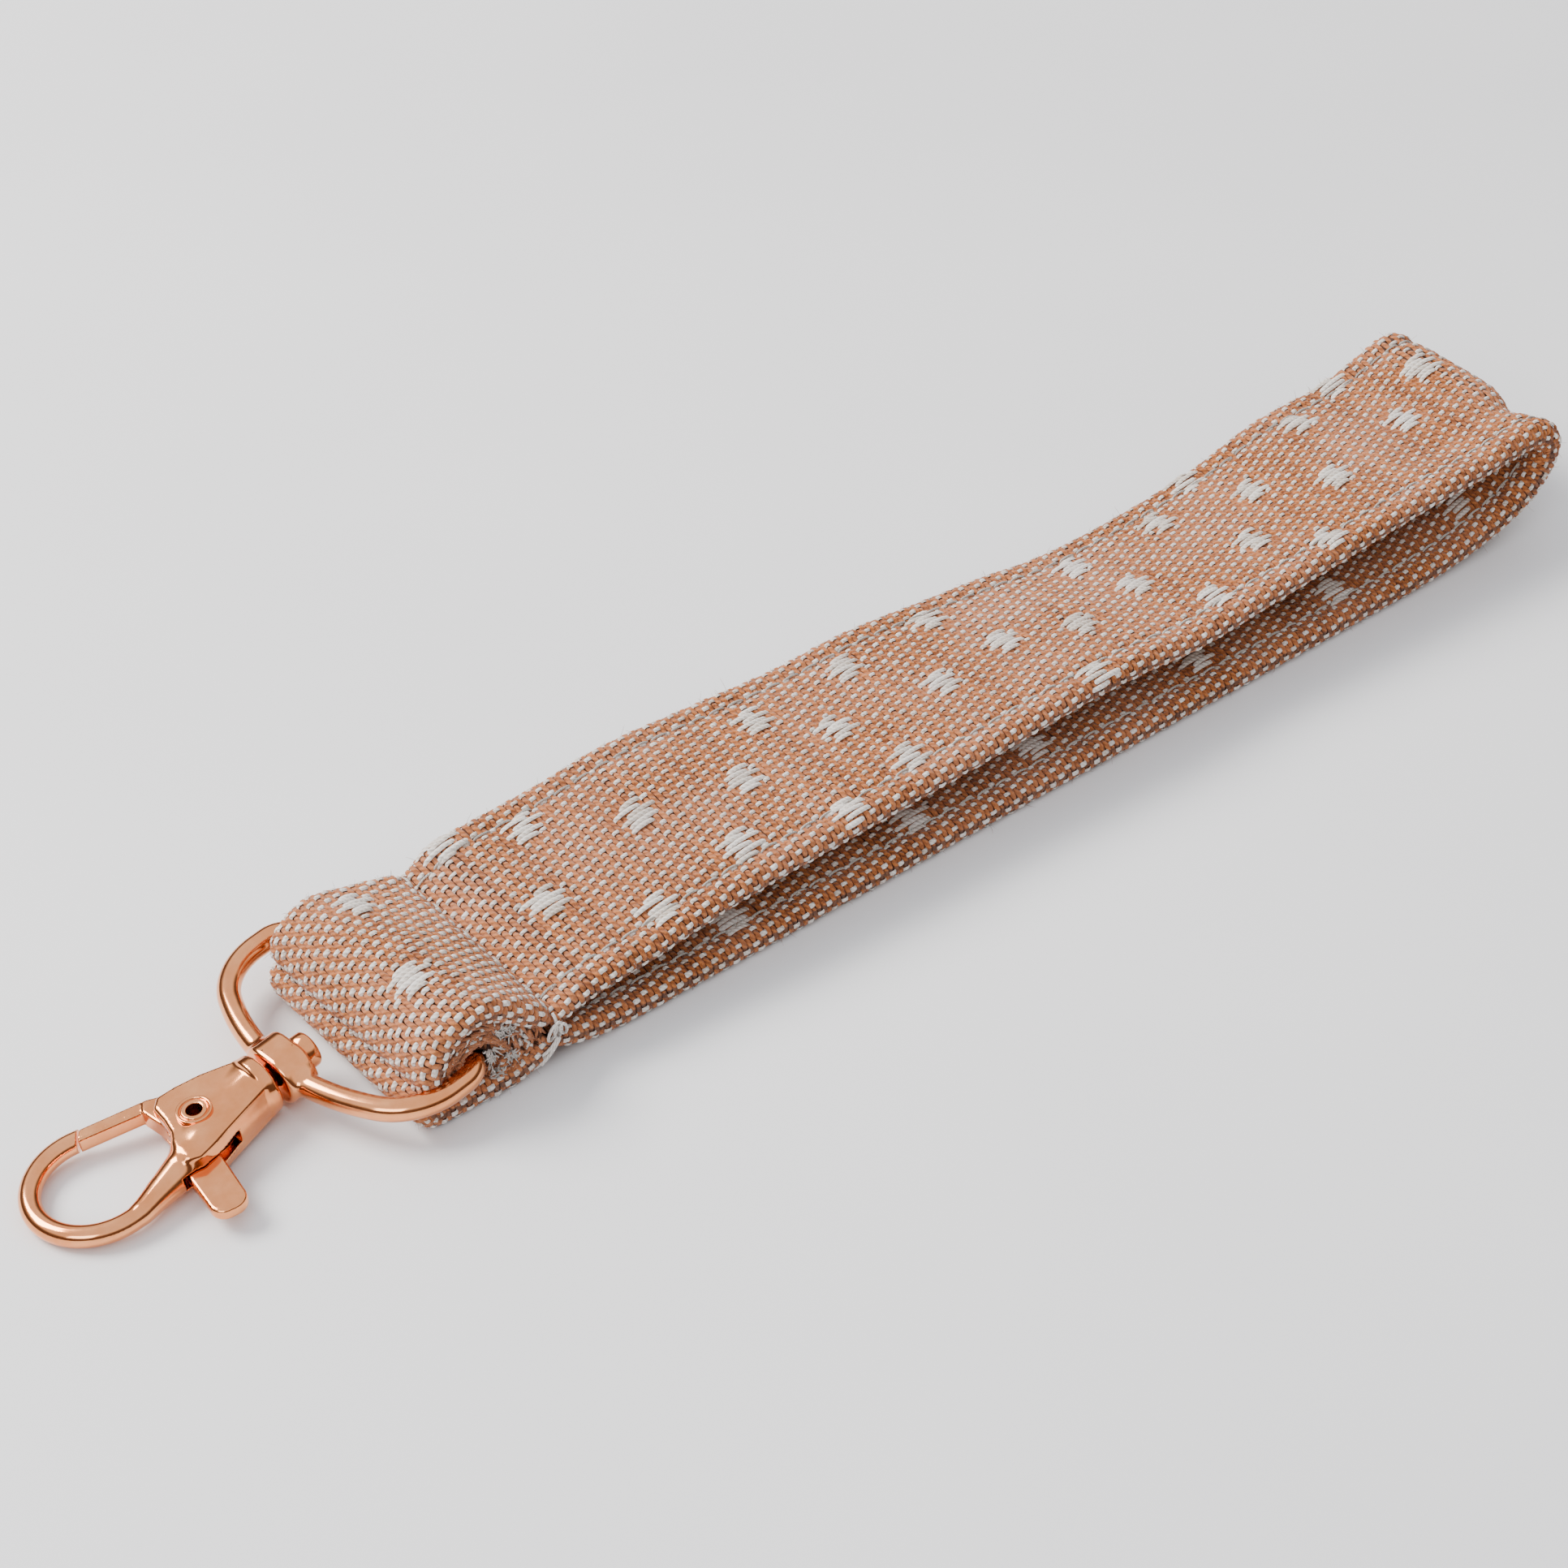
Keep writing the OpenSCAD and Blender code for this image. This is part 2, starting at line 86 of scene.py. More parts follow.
# The pocket's outside from the foot of the throat along the floor, up the front and over the top
POCKET_NEAR = [
    (0.2, 2.5), (-1, 1.7), (-2.9, 0.8), (-5.5, 0.15), (-9, 0.1), (-13, 0.1), (-16.6, 0.3),
    (-18.3, 1.4), (-18.9, 3.1), (-18.3, 4.5), (-17.3, 5.5), (-17.5, 6.8), (-17, 8.6), (-15.9, 10.7),
    (-14.5, 12.3), (-12.7, 13.5), (-10.4, 14.2), (-8.2, 14.2), (-6.1, 13.4), (-4.1, 12),
    (-2.5, 10.6), (-1, 9.2), (0.1, 7.9)]
POCKET_FAR = [
    (0.2, 2.5), (-1, 1.7), (-2.9, 0.8), (-5.5, 0.15), (-9, 0.1), (-13, 0.1), (-17.1, 0.4),
    (-18.8, 1.8), (-19.3, 3.6), (-18.9, 4.8), (-18, 5.7), (-18.6, 7.3), (-18.1, 9.3), (-16.8, 10.8),
    (-15.3, 11.8), (-13.5, 12.5), (-11.6, 12.5), (-9.8, 12.1), (-7.6, 11.5), (-5.2, 10.9),
    (-2.8, 10.3), (-1, 9.6), (0.1, 8.6)]
POCKET_T = 2.8

# The two raw ends of the cloth inside the pocket
UPPER_END = [(-0.8, 5.9), (-3.4, 7.8), (-6.6, 9.4), (-10, 10.2), (-13, 9.4), (-14.6, 7.2)]
LOWER_END = [(-0.8, 4.2), (-3, 3.9), (-5.4, 3.7), (-9, 3.7)]
RAW_END_T = 1.5
RAW_END_SHARE = 0.84

# Where the woven dots lie on the top of the strap, and on the pocket: x, y
TOP_DOTS = [
    (5, 14), (15, 10), (9, -2), (26, 2), (18, -12), (32, -10), (40, -1), (48, 8), (55, 0), (64, 9),
    (46, -14), (58, -11), (79, 11), (71, -2), (83, 0), (93, -4), (104, 10), (86, -14), (106, -1),
    (129, 14), (119, 9), (110, -11), (123, -5), (132, 4), (147, 10), (140, -3), (158, 14),
    (157, 0), (167, 6), (129, -13)]
POCKET_DOTS = [(-8.8, 10.5), (-12.4, -5.8)]


def placed(points):
    """Points of the drawing's frame, in metres in the row frame."""
    return np.asarray(points, float) * MM + THROAT


# Meshes

def mesh_object(name, points, faces, material, yarn=None):
    """A mesh from points in millimetres. yarn holds three numbers for each point: the length
    along its thread in millimetres, the way round it from 0 to 1, and the thread's own shade."""
    mesh = bpy.data.meshes.new(name)
    faces = faces.tolist() if isinstance(faces, np.ndarray) else faces
    mesh.from_pydata(placed(points).tolist(), [], faces)
    mesh.polygons.foreach_set("use_smooth", [True] * len(mesh.polygons))
    if yarn is not None:
        attribute = mesh.attributes.new("yarn", "FLOAT_VECTOR", "POINT")
        attribute.data.foreach_set("vector", np.asarray(yarn, np.float32).ravel())
    mesh.update()
    mesh.materials.append(material)
    obj = bpy.data.objects.new(name, mesh)
    bpy.context.scene.collection.objects.link(obj)
    return obj


def unit(v):
    """Vectors of length one in the same directions."""
    return v / np.maximum(np.linalg.norm(v, axis=-1, keepdims=True), 1e-9)


def smooth_line(points, steps=24):
    """A Catmull-Rom curve through a list of points, with steps to each span."""
    p = np.asarray(points, float)
    p = np.vstack([2 * p[0] - p[1], p, 2 * p[-1] - p[-2]])
    t = (np.arange(steps) / steps)[:, None]
    spans = [
        b + (c - a) * t / 2 + (2 * a - 5 * b + 4 * c - d) * t ** 2 / 2
        + (3 * b - a - 3 * c + d) * t ** 3 / 2
        for a, b, c, d in zip(p[:-3], p[1:-2], p[2:-1], p[3:])]
    return np.vstack(spans + [p[-2:-1]])


def lengths(points):
    """How far along a line each of its points lies."""
    return np.r_[0, np.cumsum(np.linalg.norm(np.diff(points, axis=0), axis=1))]


def at_lengths(points, where, at):
    """The places on a line at the lengths in at, where its own points lie at those in where."""
    return np.stack([np.interp(at, where, points[:, k]) for k in range(points.shape[1])], axis=1)


def grid_quads(rows, columns, rows_close=False, columns_close=False):
    """Quads over a grid of points that are numbered row by row. A side that closes runs on from
    its last row or column to its first."""
    i, j = np.meshgrid(np.arange(rows - (not rows_close)), np.arange(columns - (not columns_close)),
                       indexing="ij")
    next_i, next_j = (i + 1) % rows, (j + 1) % columns
    return np.stack([i * columns + j, i * columns + next_j, next_i * columns + next_j,
                     next_i * columns + j], axis=-1).reshape(-1, 4)


def flipped(quads):
    """The same quads facing the other way."""
    return quads[:, [0, 3, 2, 1]]


def repeated(quads, count, step):
    """The same quads over count sets of points, with step points in each."""
    return (np.arange(count)[:, None, None] * step + quads).reshape(-1, 4)


def tube(path, radius, sides=8):
    """Points, faces and yarn numbers of a closed round tube along a path."""
    p = np.asarray(path, float)
    along = unit(np.gradient(p, axis=0))
    side = np.zeros_like(p)
    first = np.cross(along[0], [0.3, 0.2, 1])
    side[0] = first / np.linalg.norm(first)
    for i in range(1, len(p)):
        s = side[i - 1] - along[i] * (side[i - 1] @ along[i])
        side[i] = s / np.linalg.norm(s)
    other = np.cross(along, side)
    angle = np.arange(sides) * 2 * math.pi / sides
    r = np.broadcast_to(np.asarray(radius, float), (len(p),))[:, None, None]
    rings = (p[:, None] + r * (side[:, None] * np.cos(angle)[None, :, None]
                               + other[:, None] * np.sin(angle)[None, :, None]))
    faces = grid_quads(len(p), sides, columns_close=True).tolist()
    last = (len(p) - 1) * sides
    faces.append(list(range(sides))[::-1])
    faces.append([last + n for n in range(sides)])
    run = np.broadcast_to(lengths(p)[:, None], (len(p), sides))
    way = np.broadcast_to(angle / (2 * math.pi), (len(p), sides))
    yarn = np.stack([run, way, np.full((len(p), sides), 0.5)], axis=-1)
    return rings.reshape(-1, 3), faces, yarn.reshape(-1, 3)


def joined(parts):
    """One set of points, faces and yarn numbers from several."""
    points, faces, yarn, base = [], [], [], 0
    for p, f, y in parts:
        points.append(p)
        faces += [[n + base for n in face] for face in f]
        yarn.append(y)
        base += len(p)
    return np.vstack(points), faces, np.vstack(yarn)


# Cloth

CROWN = 0.06


def section(edge_r, pinch):
    """Where each warp lies round a band of unit thickness: its place across the band and its
    height, about -0.5 to 0.5. It starts at the near edge and goes over the top first. pinch is how
    much thinner the band is under its topstitching."""
    v = np.linspace(-HALF_W, HALF_W, 1201)
    from_edge = HALF_W - np.abs(v)
    h = np.sqrt(np.clip(1 - (1 - np.clip(from_edge / edge_r, 0, 1)) ** 2, 0, 1))
    h *= 1 + CROWN * (1 - (v / HALF_W) ** 2) - pinch * np.exp(-((from_edge - STITCH_IN) / 0.8) ** 2)
    outline = np.vstack([np.c_[v, h / 2], np.c_[v[::-1], -h[::-1] / 2][1:]])
    where = lengths(outline * [1, 3])
    at = np.arange(WARPS) / WARPS * where[-1]
    return at_lengths(outline, where, at).T


class Band:
    """A band of cloth along a path, as a grid of cells: one row a pick and one column a warp. near
    and far are the path at the band's two edges, in its middle or, with outside, on its outer
    face. thickness is a list of shares of the length, each with its thickness. A dent has its
    place, its two reaches and its depth. oval scales the white ovals."""

    def __init__(self, near, far, thickness, outside=False, edge_r=1.6, pinch=0.3, dents=(),
                 oval=1.05):
        self.oval = oval
        near, far = smooth_line(near), smooth_line(far)
        middle = (near + far) / 2
        where = lengths(middle)
        self.picks = int(round(where[-1] / PICK)) + 1
        at = np.linspace(0, where[-1], self.picks)
        near, far = at_lengths(near, where, at), at_lengths(far, where, at)
        self.v, h = section(edge_r, pinch)
        t = np.interp(at / where[-1], *np.transpose(thickness))[:, None]
        share = ((self.v + HALF_W) / STRAP_W)[None, :, None]
        xz = near[:, None] * (1 - share) + far[:, None] * share
        mid = np.stack([xz[..., 0], np.broadcast_to(self.v, xz.shape[:2]), xz[..., 1]], axis=-1)
        across = (far - near)[:, None] / STRAP_W
        across = np.stack([across[..., 0], np.ones(across.shape[:2]), across[..., 1]], axis=-1)
        out = unit(np.cross(np.gradient(mid, axis=0), across))
        if outside:
            mid = mid - out * t[..., None] / 2
        for x, y, reach_x, reach_y, depth in dents:
            bump = np.exp(-((mid[..., 0] - x) / reach_x) ** 2 - ((mid[..., 1] - y) / reach_y) ** 2)
            mid = mid - out * (depth * bump)[..., None]
        self.grid = mid + out * (t * h)[..., None]
        self.grid[..., 2] = np.maximum(self.grid[..., 2], LEAST_Z)
        self.top = h >= 0
        self.measure()
        self.covered = np.zeros(self.grid.shape[:2], bool)

    def measure(self):
        """Directions at each cell: along the band, round it and out of it."""
        g = self.grid
        self.along = unit(np.gradient(g, axis=0))
        self.round = unit(np.roll(g, -1, axis=1) - np.roll(g, 1, axis=1))
        self.normal = unit(np.cross(self.along, self.round))

    def cell(self, x, y, least_z=5):
        """The pick and the warp nearest to a place on the band's outer face, above a height."""
        g = self.grid
        d = (g[..., 0] - x) ** 2 + (g[..., 1] - y) ** 2 + 1e3 * (g[..., 2] < least_z)
        return np.unravel_index(np.argmin(d + 1e3 * ~self.top[None]), d.shape)

    def core(self, inset=0.2, step=2):
        """The cloth under the threads, as one closed skin."""
        rows = np.unique(np.r_[np.arange(0, self.picks, step), self.picks - 1])
        p = (self.grid - self.normal * inset)[rows]
        n, k = p.shape[:2]
        faces = flipped(grid_quads(n, k, columns_close=True)).tolist()
        faces.append(list(range(k)))
        faces.append([(n - 1) * k + m for m in range(k)][::-1])
        return p.reshape(-1, 3), faces


def ties(band):
    """The cells where a white warp ties down a pick: a five-end satin."""
    i, j = np.meshgrid(np.arange(band.picks), np.arange(WARPS), indexing="ij")
    return (2 * i + j) % TIE_REPEAT == 0


# A woven dot: half the length of each of its ropes in picks, and their spacing in warps
DOT_REACH = [2.4, 3.2, 3.5, 3.5, 3.2, 2.4]
ROPE_PITCH = 1.3


def add_dots(band, cells):
    """Marks the cells of the woven dots, and gives each float: pick, warp and half length."""
    floats = []
    for pick, warp in cells:
        for n, reach in enumerate(DOT_REACH):
            place = (warp + (n - (len(DOT_REACH) - 1) / 2) * ROPE_PITCH) % WARPS
            middle = pick + (0.75 if n % 2 else -0.75) + random.uniform(-0.5, 0.5)
            own_reach = reach * random.uniform(0.85, 1.08)
            first, last = middle - own_reach, middle + own_reach
            if first < 1 or last > band.picks - 2:
                continue
            floats.append((middle, place, own_reach))
            rows = np.arange(int(np.ceil(first - 0.3)), int(last + 0.3) + 1)
            for j in (int(place), int(place + 1) % WARPS):
                band.covered[rows, j] = True
    return floats


# A yarn's half-round section, from one side over the top to the other
YARN_ANGLES = np.radians([180, 122, 58, 0])
# The orange weft: half its width, its height, and its level where a white warp crosses it, under
# a dot and elsewhere
WEFT_HALF_W, WEFT_HIGH = 0.365, 0.34
TIED_LEVEL, COVERED_LEVEL, FREE_LEVEL = -0.34, -0.12, 0.06


def weft_threads(band, shown):
    """One half-round orange thread for each pick, which dips where the white warp lies over it."""
    tied = ties(band) & ~band.covered
    height = np.where(tied, TIED_LEVEL, np.where(band.covered, COVERED_LEVEL, FREE_LEVEL))
    height = height + random.normal(0, 0.025, tied.shape)
    near_tie = np.roll(tied, 1, axis=1) | np.roll(tied, -1, axis=1)
    height = height - 0.12 * (near_tie & ~tied)
    half_w = WEFT_HALF_W * np.where(tied, 0.8, 1)[..., None]
    slip = random.normal(0, 0.03, (band.picks, 1, 1))
    centre = band.grid + band.normal * (height - 0.1)[..., None] + band.along * slip
    rings = np.stack([
        centre + band.along * math.cos(a) * half_w + band.normal * math.sin(a) * WEFT_HIGH
        for a in YARN_ANGLES], axis=2)
    n, k, m = rings.shape[:3]
    quads = grid_quads(k, m, rows_close=True).reshape(k, m - 1, 4)
    quads = quads[shown & np.roll(shown, -1)].reshape(-1, 4)
    faces = repeated(quads, n, k * m)
    shade = np.broadcast_to(random.uniform(0, 1, (n, 1, 1)), (n, k, m))
    shade = 0.6 * shade + 0.4 * random.uniform(0, 1, (n, k, 1))
    run = np.broadcast_to(np.arange(k)[None, :, None] * 0.61, (n, k, m))
    way = np.broadcast_to(np.arange(m)[None, None] / 6, (n, k, m))
    yarn = np.stack([run, way, shade], axis=-1)
    return used_only(rings.reshape(-1, 3), faces, yarn.reshape(-1, 3))


def used_only(points, faces, yarn):
    """Leaves out the points that no face uses."""
    used, back = np.unique(faces, return_inverse=True)
    return points[used], back.reshape(faces.shape), yarn[used]


# The white yarns from end to end: places along half the length, share of the width, and rise
FLOAT_PLACES = np.array([-1, -0.74, -0.3, 0.3, 0.74, 1])
FLOAT_SWELL = np.array([0.5, 0.92, 1, 1, 0.92, 0.5])
FLOAT_ARCH = np.array([-0.5, 0.55, 1, 1, 0.55, -0.5])


def float_patches(band, middles, warps, reaches, high, width):
    """Half-round white yarns that run along the warp over one pick or more."""
    rows = np.clip(middles[:, None] + reaches[:, None] * FLOAT_PLACES, 0, band.picks - 1.001)
    low = rows.astype(int)
    part = (rows - low)[..., None]
    column = np.floor(warps).astype(int)[:, None]
    next_column = (column + 1) % WARPS
    beside = (warps[:, None] - column)[..., None]

    def pick(a):
        here = a[low, column] * (1 - part) + a[low + 1, column] * part
        there = a[low, next_column] * (1 - part) + a[low + 1, next_column] * part
        return here * (1 - beside) + there * beside

    base, normal = pick(band.grid), unit(pick(band.normal))
    side = unit(np.cross(normal, unit(pick(band.along))))
    skew = random.normal(0, 0.05, (len(warps), 1)) + 0.05 * FLOAT_PLACES[None]
    rise = high[:, None] * FLOAT_ARCH - 0.16
    centre = base + normal * rise[..., None] + side * skew[..., None]
    half = (width[:, None] / 2 * FLOAT_SWELL)[..., None]
    rings = np.stack([
        centre + side * math.cos(a) * half + normal * math.sin(a) * half * 0.85
        for a in YARN_ANGLES], axis=2)
    n, k, m = rings.shape[:3]
    faces = repeated(flipped(grid_quads(k, m)), n, k * m)
    run = np.broadcast_to((reaches[:, None] * FLOAT_PLACES * PICK)[..., None], (n, k, m))
    way = np.broadcast_to(np.arange(m)[None, None] / 6, (n, k, m))
    shade = np.broadcast_to(random.uniform(0, 1, (n, 1, 1)), (n, k, m))
    yarn = np.stack([run, way, shade], axis=-1)
    return rings.reshape(-1, 3), faces, yarn.reshape(-1, 3)


# Least and most half length in picks, height and width in millimetres, of an oval and of a rope
OVAL_REACH, OVAL_HIGH, OVAL_W = (0.64, 0.92), (0.2, 0.3), (0.46, 0.63)
ROPE_HIGH, ROPE_W = (0.32, 0.47), (0.65, 0.75)


def warp_threads(band, floats, shown):
    """The white ovals of the satin ties and the long floats of the woven dots."""
    tied = ties(band) & ~band.covered & shown[None]
    tied[:1] = False
    tied[-1:] = False
    i, j = np.nonzero(tied)
    count = len(i)
    ovals = float_patches(
        band, i + random.normal(0, 0.07, count), j, band.oval * random.uniform(*OVAL_REACH, count),
        random.uniform(*OVAL_HIGH, count), band.oval * random.uniform(*OVAL_W, count))
    if not floats:
        return ovals
    middle, warp, reach = np.array(floats).T
    ropes = float_patches(band, middle, warp, reach, random.uniform(*ROPE_HIGH, len(reach)),
                          random.uniform(*ROPE_W, len(reach)))
    faces = np.vstack([ovals[1], ropes[1] + len(ovals[0])])
    return np.vstack([ovals[0], ropes[0]]), faces, np.vstack([ovals[2], ropes[2]])


# The spacing of the dots that aren't in sight, in picks and in warps
DOT_GAP_PICKS, DOT_GAP_WARPS = 17, 20


def scattered_dots(rows, warps):
    """Dots in staggered columns with a little disorder, as on the cloth's other faces."""
    cells = []
    for n, pick in enumerate(range(rows[0] + 6, rows[1] - 5, DOT_GAP_PICKS)):
        for warp in range(warps[0] + (n % 2) * DOT_GAP_WARPS // 2, warps[1], DOT_GAP_WARPS):
            cells.append((pick + int(random.integers(-3, 4)), warp + int(random.integers(-2, 3))))
    return cells


def stitch_row(path, normals, stitch_len, thread_r, high, low=-0.12, gap=0.12):
    """A row of machine stitches: each comes up from its needle hole and goes down the next."""
    where = lengths(path)
    count = max(1, int(where[-1] / stitch_len))
    parts = []
    for n in range(count):
        a = (n + gap / 2) * where[-1] / count
        b = (n + 1 - gap / 2) * where[-1] / count
        share = np.linspace(0, 1, 9)
        p = at_lengths(path, where, a + (b - a) * share)
        up = unit(at_lengths(normals, where, a + (b - a) * share))
        arch = np.clip(np.sin(math.pi * share), 0, 1) ** 0.4
        wander = random.normal(0, 0.05)
        side = unit(np.cross(up, np.gradient(p, axis=0)))
        parts.append(tube(p + up * (low + (high - low) * arch)[:, None]
                          + side * (wander * share)[:, None], thread_r, 6))
    return joined(parts)


# Materials

def material(name, **values):
    """A new material, its node tree and its shader, with the shader's named values set."""
    made = bpy.data.materials.new(name)
    made.use_nodes = True
    shader = made.node_tree.nodes["Principled BSDF"]
    for key, value in values.items():
        shader.inputs[key.replace("_", " ")].default_value = value
    return made, made.node_tree, shader


def add_node(tree, kind, inputs, **settings):
    """A new node. Each of its inputs is set to a value or linked to another node's output."""
    made = tree.nodes.new(kind)
    for key, value in settings.items():
        setattr(made, key, value)
    for key, value in inputs.items():
        if isinstance(value, bpy.types.NodeSocket):
            tree.links.new(value, made.inputs[key])
        else:
            made.inputs[key].default_value = value
    return made


def maths(tree, operation, *values):
    return add_node(tree, "ShaderNodeMath", dict(enumerate(values)), operation=operation).outputs[0]


def noise(tree, scale, detail, roughness=0.5):
    """Noise that is fixed to the object."""
    place = add_node(tree, "ShaderNodeTexCoord", {}).outputs["Object"]
    return add_node(tree, "ShaderNodeTexNoise", {"Vector": place, "Scale": scale, "Detail": detail,
                                                 "Roughness": roughness}).outputs["Fac"]


def ramp(tree, factor, stops):
    made = add_node(tree, "ShaderNodeValToRGB", {0: factor})
    elements = made.color_ramp.elements
    while len(elements) < len(stops):
        elements.new(0.5)
    for element, (place, colour) in zip(elements, stops):
        element.position = place
        element.color = (*colour, 1)
    return made.outputs[0]


def add_bump(tree, shader, height, strength, distance):
    bump = add_node(tree, "ShaderNodeBump", {"Strength": strength, "Distance": distance,
                                             "Height": height})
    tree.links.new(bump.outputs[0], shader.inputs["Normal"])


def yarn_material(name, dark, light, tint, twist=0.9):
    """Spun yarn: slanting plies along each thread, with painted shade darkening the hollows between them,
    a shade of its own and fine fibres.
    """
    made, tree, shader = material(name, Roughness=0.85, Sheen_Weight=0.2, Sheen_Roughness=0.5,
                                  Specular_IOR_Level=0.25)
    yarn = add_node(tree, "ShaderNodeAttribute", {}, attribute_name="yarn").outputs["Vector"]
    parts = add_node(tree, "ShaderNodeSeparateXYZ", {0: yarn}).outputs
    turns = maths(tree, "MULTIPLY", parts["X"], 2 * math.pi / twist)
    way = maths(tree, "MULTIPLY", parts["Y"], 4 * math.pi)
    ply = maths(tree, "SINE", maths(tree, "ADD", turns, way))
    fibre = noise(tree, 5200, 3, 0.65)
    # The ply term darkens the hollows between the plies: painted shade, on top of the bump.
    tone = maths(tree, "MULTIPLY_ADD", ply, 0.13, maths(tree, "MULTIPLY", parts["Z"], 0.34))
    tone = maths(tree, "MULTIPLY_ADD", fibre, 0.8, tone)
    colour = ramp(tree, tone, [(0.28, dark), (0.86, light)])
    patches = ramp(tree, noise(tree, 70, 2), [(0.38, (0, 0, 0)), (0.66, (1, 1, 1))])
    mixed = add_node(tree, "ShaderNodeMix", {0: maths(tree, "MULTIPLY", patches, 0.45), 6: colour,
                                             7: (*tint, 1)}, data_type="RGBA", blend_type="MIX")
    tree.links.new(mixed.outputs[2], shader.inputs["Base Color"])
    add_bump(tree, shader, maths(tree, "MULTIPLY_ADD", ply, 0.6, fibre), 0.9, 0.00012)
    return made


def metal_material(name, colour, dark, roughness=0.1):
    """Polished plating with faint waves from the polishing and a soft film."""
    made, tree, shader = material(name, Metallic=1)
    film = noise(tree, 260, 4, 0.6)
    rough = add_node(tree, "ShaderNodeMapRange", {"Value": film, "To Min": roughness * 0.7,
                                                  "To Max": roughness * 1.9})
    tree.links.new(rough.outputs[0], shader.inputs["Roughness"])
    tree.links.new(ramp(tree, film, [(0.3, dark), (0.7, colour)]), shader.inputs["Base Color"])
    add_bump(tree, shader, noise(tree, 420, 2), 0.12, 0.00004)
    return made


def floor_material():
    made, tree, shader = material("pale_floor", Roughness=0.45)
    tone = ramp(tree, noise(tree, 9, 3), [(0.3, (0.8, 0.8, 0.81)), (0.7, (0.85, 0.85, 0.855))])
    tree.links.new(tone, shader.inputs["Base Color"])
    return made


# Yarns: the darker colour, partly random tone and partly painted shade in the hollows between the plies,
# the colour on the plies, and the tint of the paler patches
ORANGE = yarn_material("orange_yarn", (0.13, 0.028, 0.005), (0.59, 0.195, 0.053), (0.54, 0.21, 0.1))
WHITE = yarn_material("white_yarn", (0.48, 0.38, 0.29), (0.95, 0.9, 0.83), (0.84, 0.79, 0.76), twist=0.7)
# The cloth core's near-black brown is painted shade: it darkens the gaps between the threads and the
# pocket's gathered ends.
SHADE_CORE = yarn_material("cloth_core_painted_shade", (0.04, 0.012, 0.004), (0.13, 0.042, 0.015), (0.08, 0.03, 0.012))
THREAD = yarn_material("sewing_thread", (0.42, 0.38, 0.33), (0.82, 0.78, 0.7), (0.7, 0.66, 0.6),
                       twist=0.35)
# Metals: the colour of the plating, and its darker colour under the film
ROSE_GOLD = metal_material("rose_gold", (0.92, 0.39, 0.17), (0.8, 0.28, 0.1))
STEEL = metal_material("spring_steel", (0.6, 0.6, 0.62), (0.45, 0.45, 0.47), roughness=0.25)


# The cloth pieces

def finish_piece(obj, *, body="strap", replaces=()):
    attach(obj, body)
    if replaces:
        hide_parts(*replaces)
    return obj


def cloth(name, band, cells, shown, replaces, pieces=1):
    """A band's core with its orange and its white threads. Long bands are made as several pieces."""
    floats = add_dots(band, cells)
    core_points, core_faces = band.core()
    # The core is coloured as painted shade in the gaps between the threads.
    core = mesh_object(name + "_core", core_points, core_faces, SHADE_CORE,
                       np.tile([0, 0, 0.5], (len(core_points), 1)))
    finish_piece(core, replaces=replaces)
    made = []
    for colour, material_used, (points, faces, yarn) in (
            ("orange", ORANGE, weft_threads(band, shown)),
            ("white", WHITE, warp_threads(band, floats, shown))):
        for n, chosen in enumerate(np.array_split(faces, pieces)):
            p, f, y = used_only(points, chosen, yarn)
            part = f"{name}_{colour}_threads" + (f"_{n + 1}" if pieces > 1 else "")
            made.append(finish_piece(mesh_object(part, p, f, material_used, y)))
    return core, made


FOLD_DENTS = [(160, -8.5, 12, 3.2, 1.1), (171, -8, 4, 3.2, 1.4), (97, 9, 13, 5, 0.5), (30, 6, 9, 6, -0.5)]
strap = Band(STRAP_NEAR, STRAP_FAR,
             [(0, 2.3), (0.02, 2.8), (0.45, 2.95), (0.475, 3.6), (0.5, 3.9), (0.525, 3.5), (0.56, 2.95),
              (0.98, 2.7), (1, 2.1)], dents=FOLD_DENTS)
top_end = int(strap.picks * 0.495)
everywhere = np.ones(WARPS, bool)
strap_cells = [strap.cell(x, y) for x, y in TOP_DOTS]
half_round = WARPS // 2
strap_cells += scattered_dots((0, top_end), (half_round + 10, WARPS - 8))
strap_cells += scattered_dots((top_end, strap.picks), (8, half_round - 8))
strap_cells += scattered_dots((top_end, strap.picks), (half_round + 14, WARPS - 8))
strap_core, strap_threads = cloth(
    "strap", strap, strap_cells, everywhere,
    ["strap_upper_run", "strap_far_fold", "strap_lower_run", "strap_interlining"], pieces=3)

pocket = Band(POCKET_NEAR, POCKET_FAR, [(0, 2.1), (0.05, POCKET_T), (0.95, POCKET_T), (1, 2.2)],
              outside=True, pinch=0.05, oval=1.2)
outer_and_rim = pocket.top | (np.abs(pocket.v) > HALF_W - 4)
pocket_cells = [pocket.cell(x, y) for x, y in POCKET_DOTS]
pocket_core, pocket_threads = cloth("pocket", pocket, pocket_cells, outer_and_rim, ["pocket_wrap"])

for name, line in (("upper_raw_end", UPPER_END), ("lower_raw_end", LOWER_END)):
    end = Band(line, line, [(0, RAW_END_T), (1, RAW_END_T)], edge_r=0.7, pinch=0)
    end.grid[..., 1] *= RAW_END_SHARE
    end.measure()
    cloth(name, end, [], np.abs(end.v) > HALF_W - 5, [name])

# Stitching

def row_along(band, y, top, rows):
    j = int(np.argmin(np.abs(band.v - y) + 100 * (band.top != top)))
    return band.grid[rows, j], band.normal[rows, j]


TOPSTITCH = {"stitch_len": 3, "thread_r": 0.15, "high": 0.42}
THROAT_STITCH = {"stitch_len": 2.9, "thread_r": 0.19, "high": 0.42, "low": -0.3, "gap": 0.2}

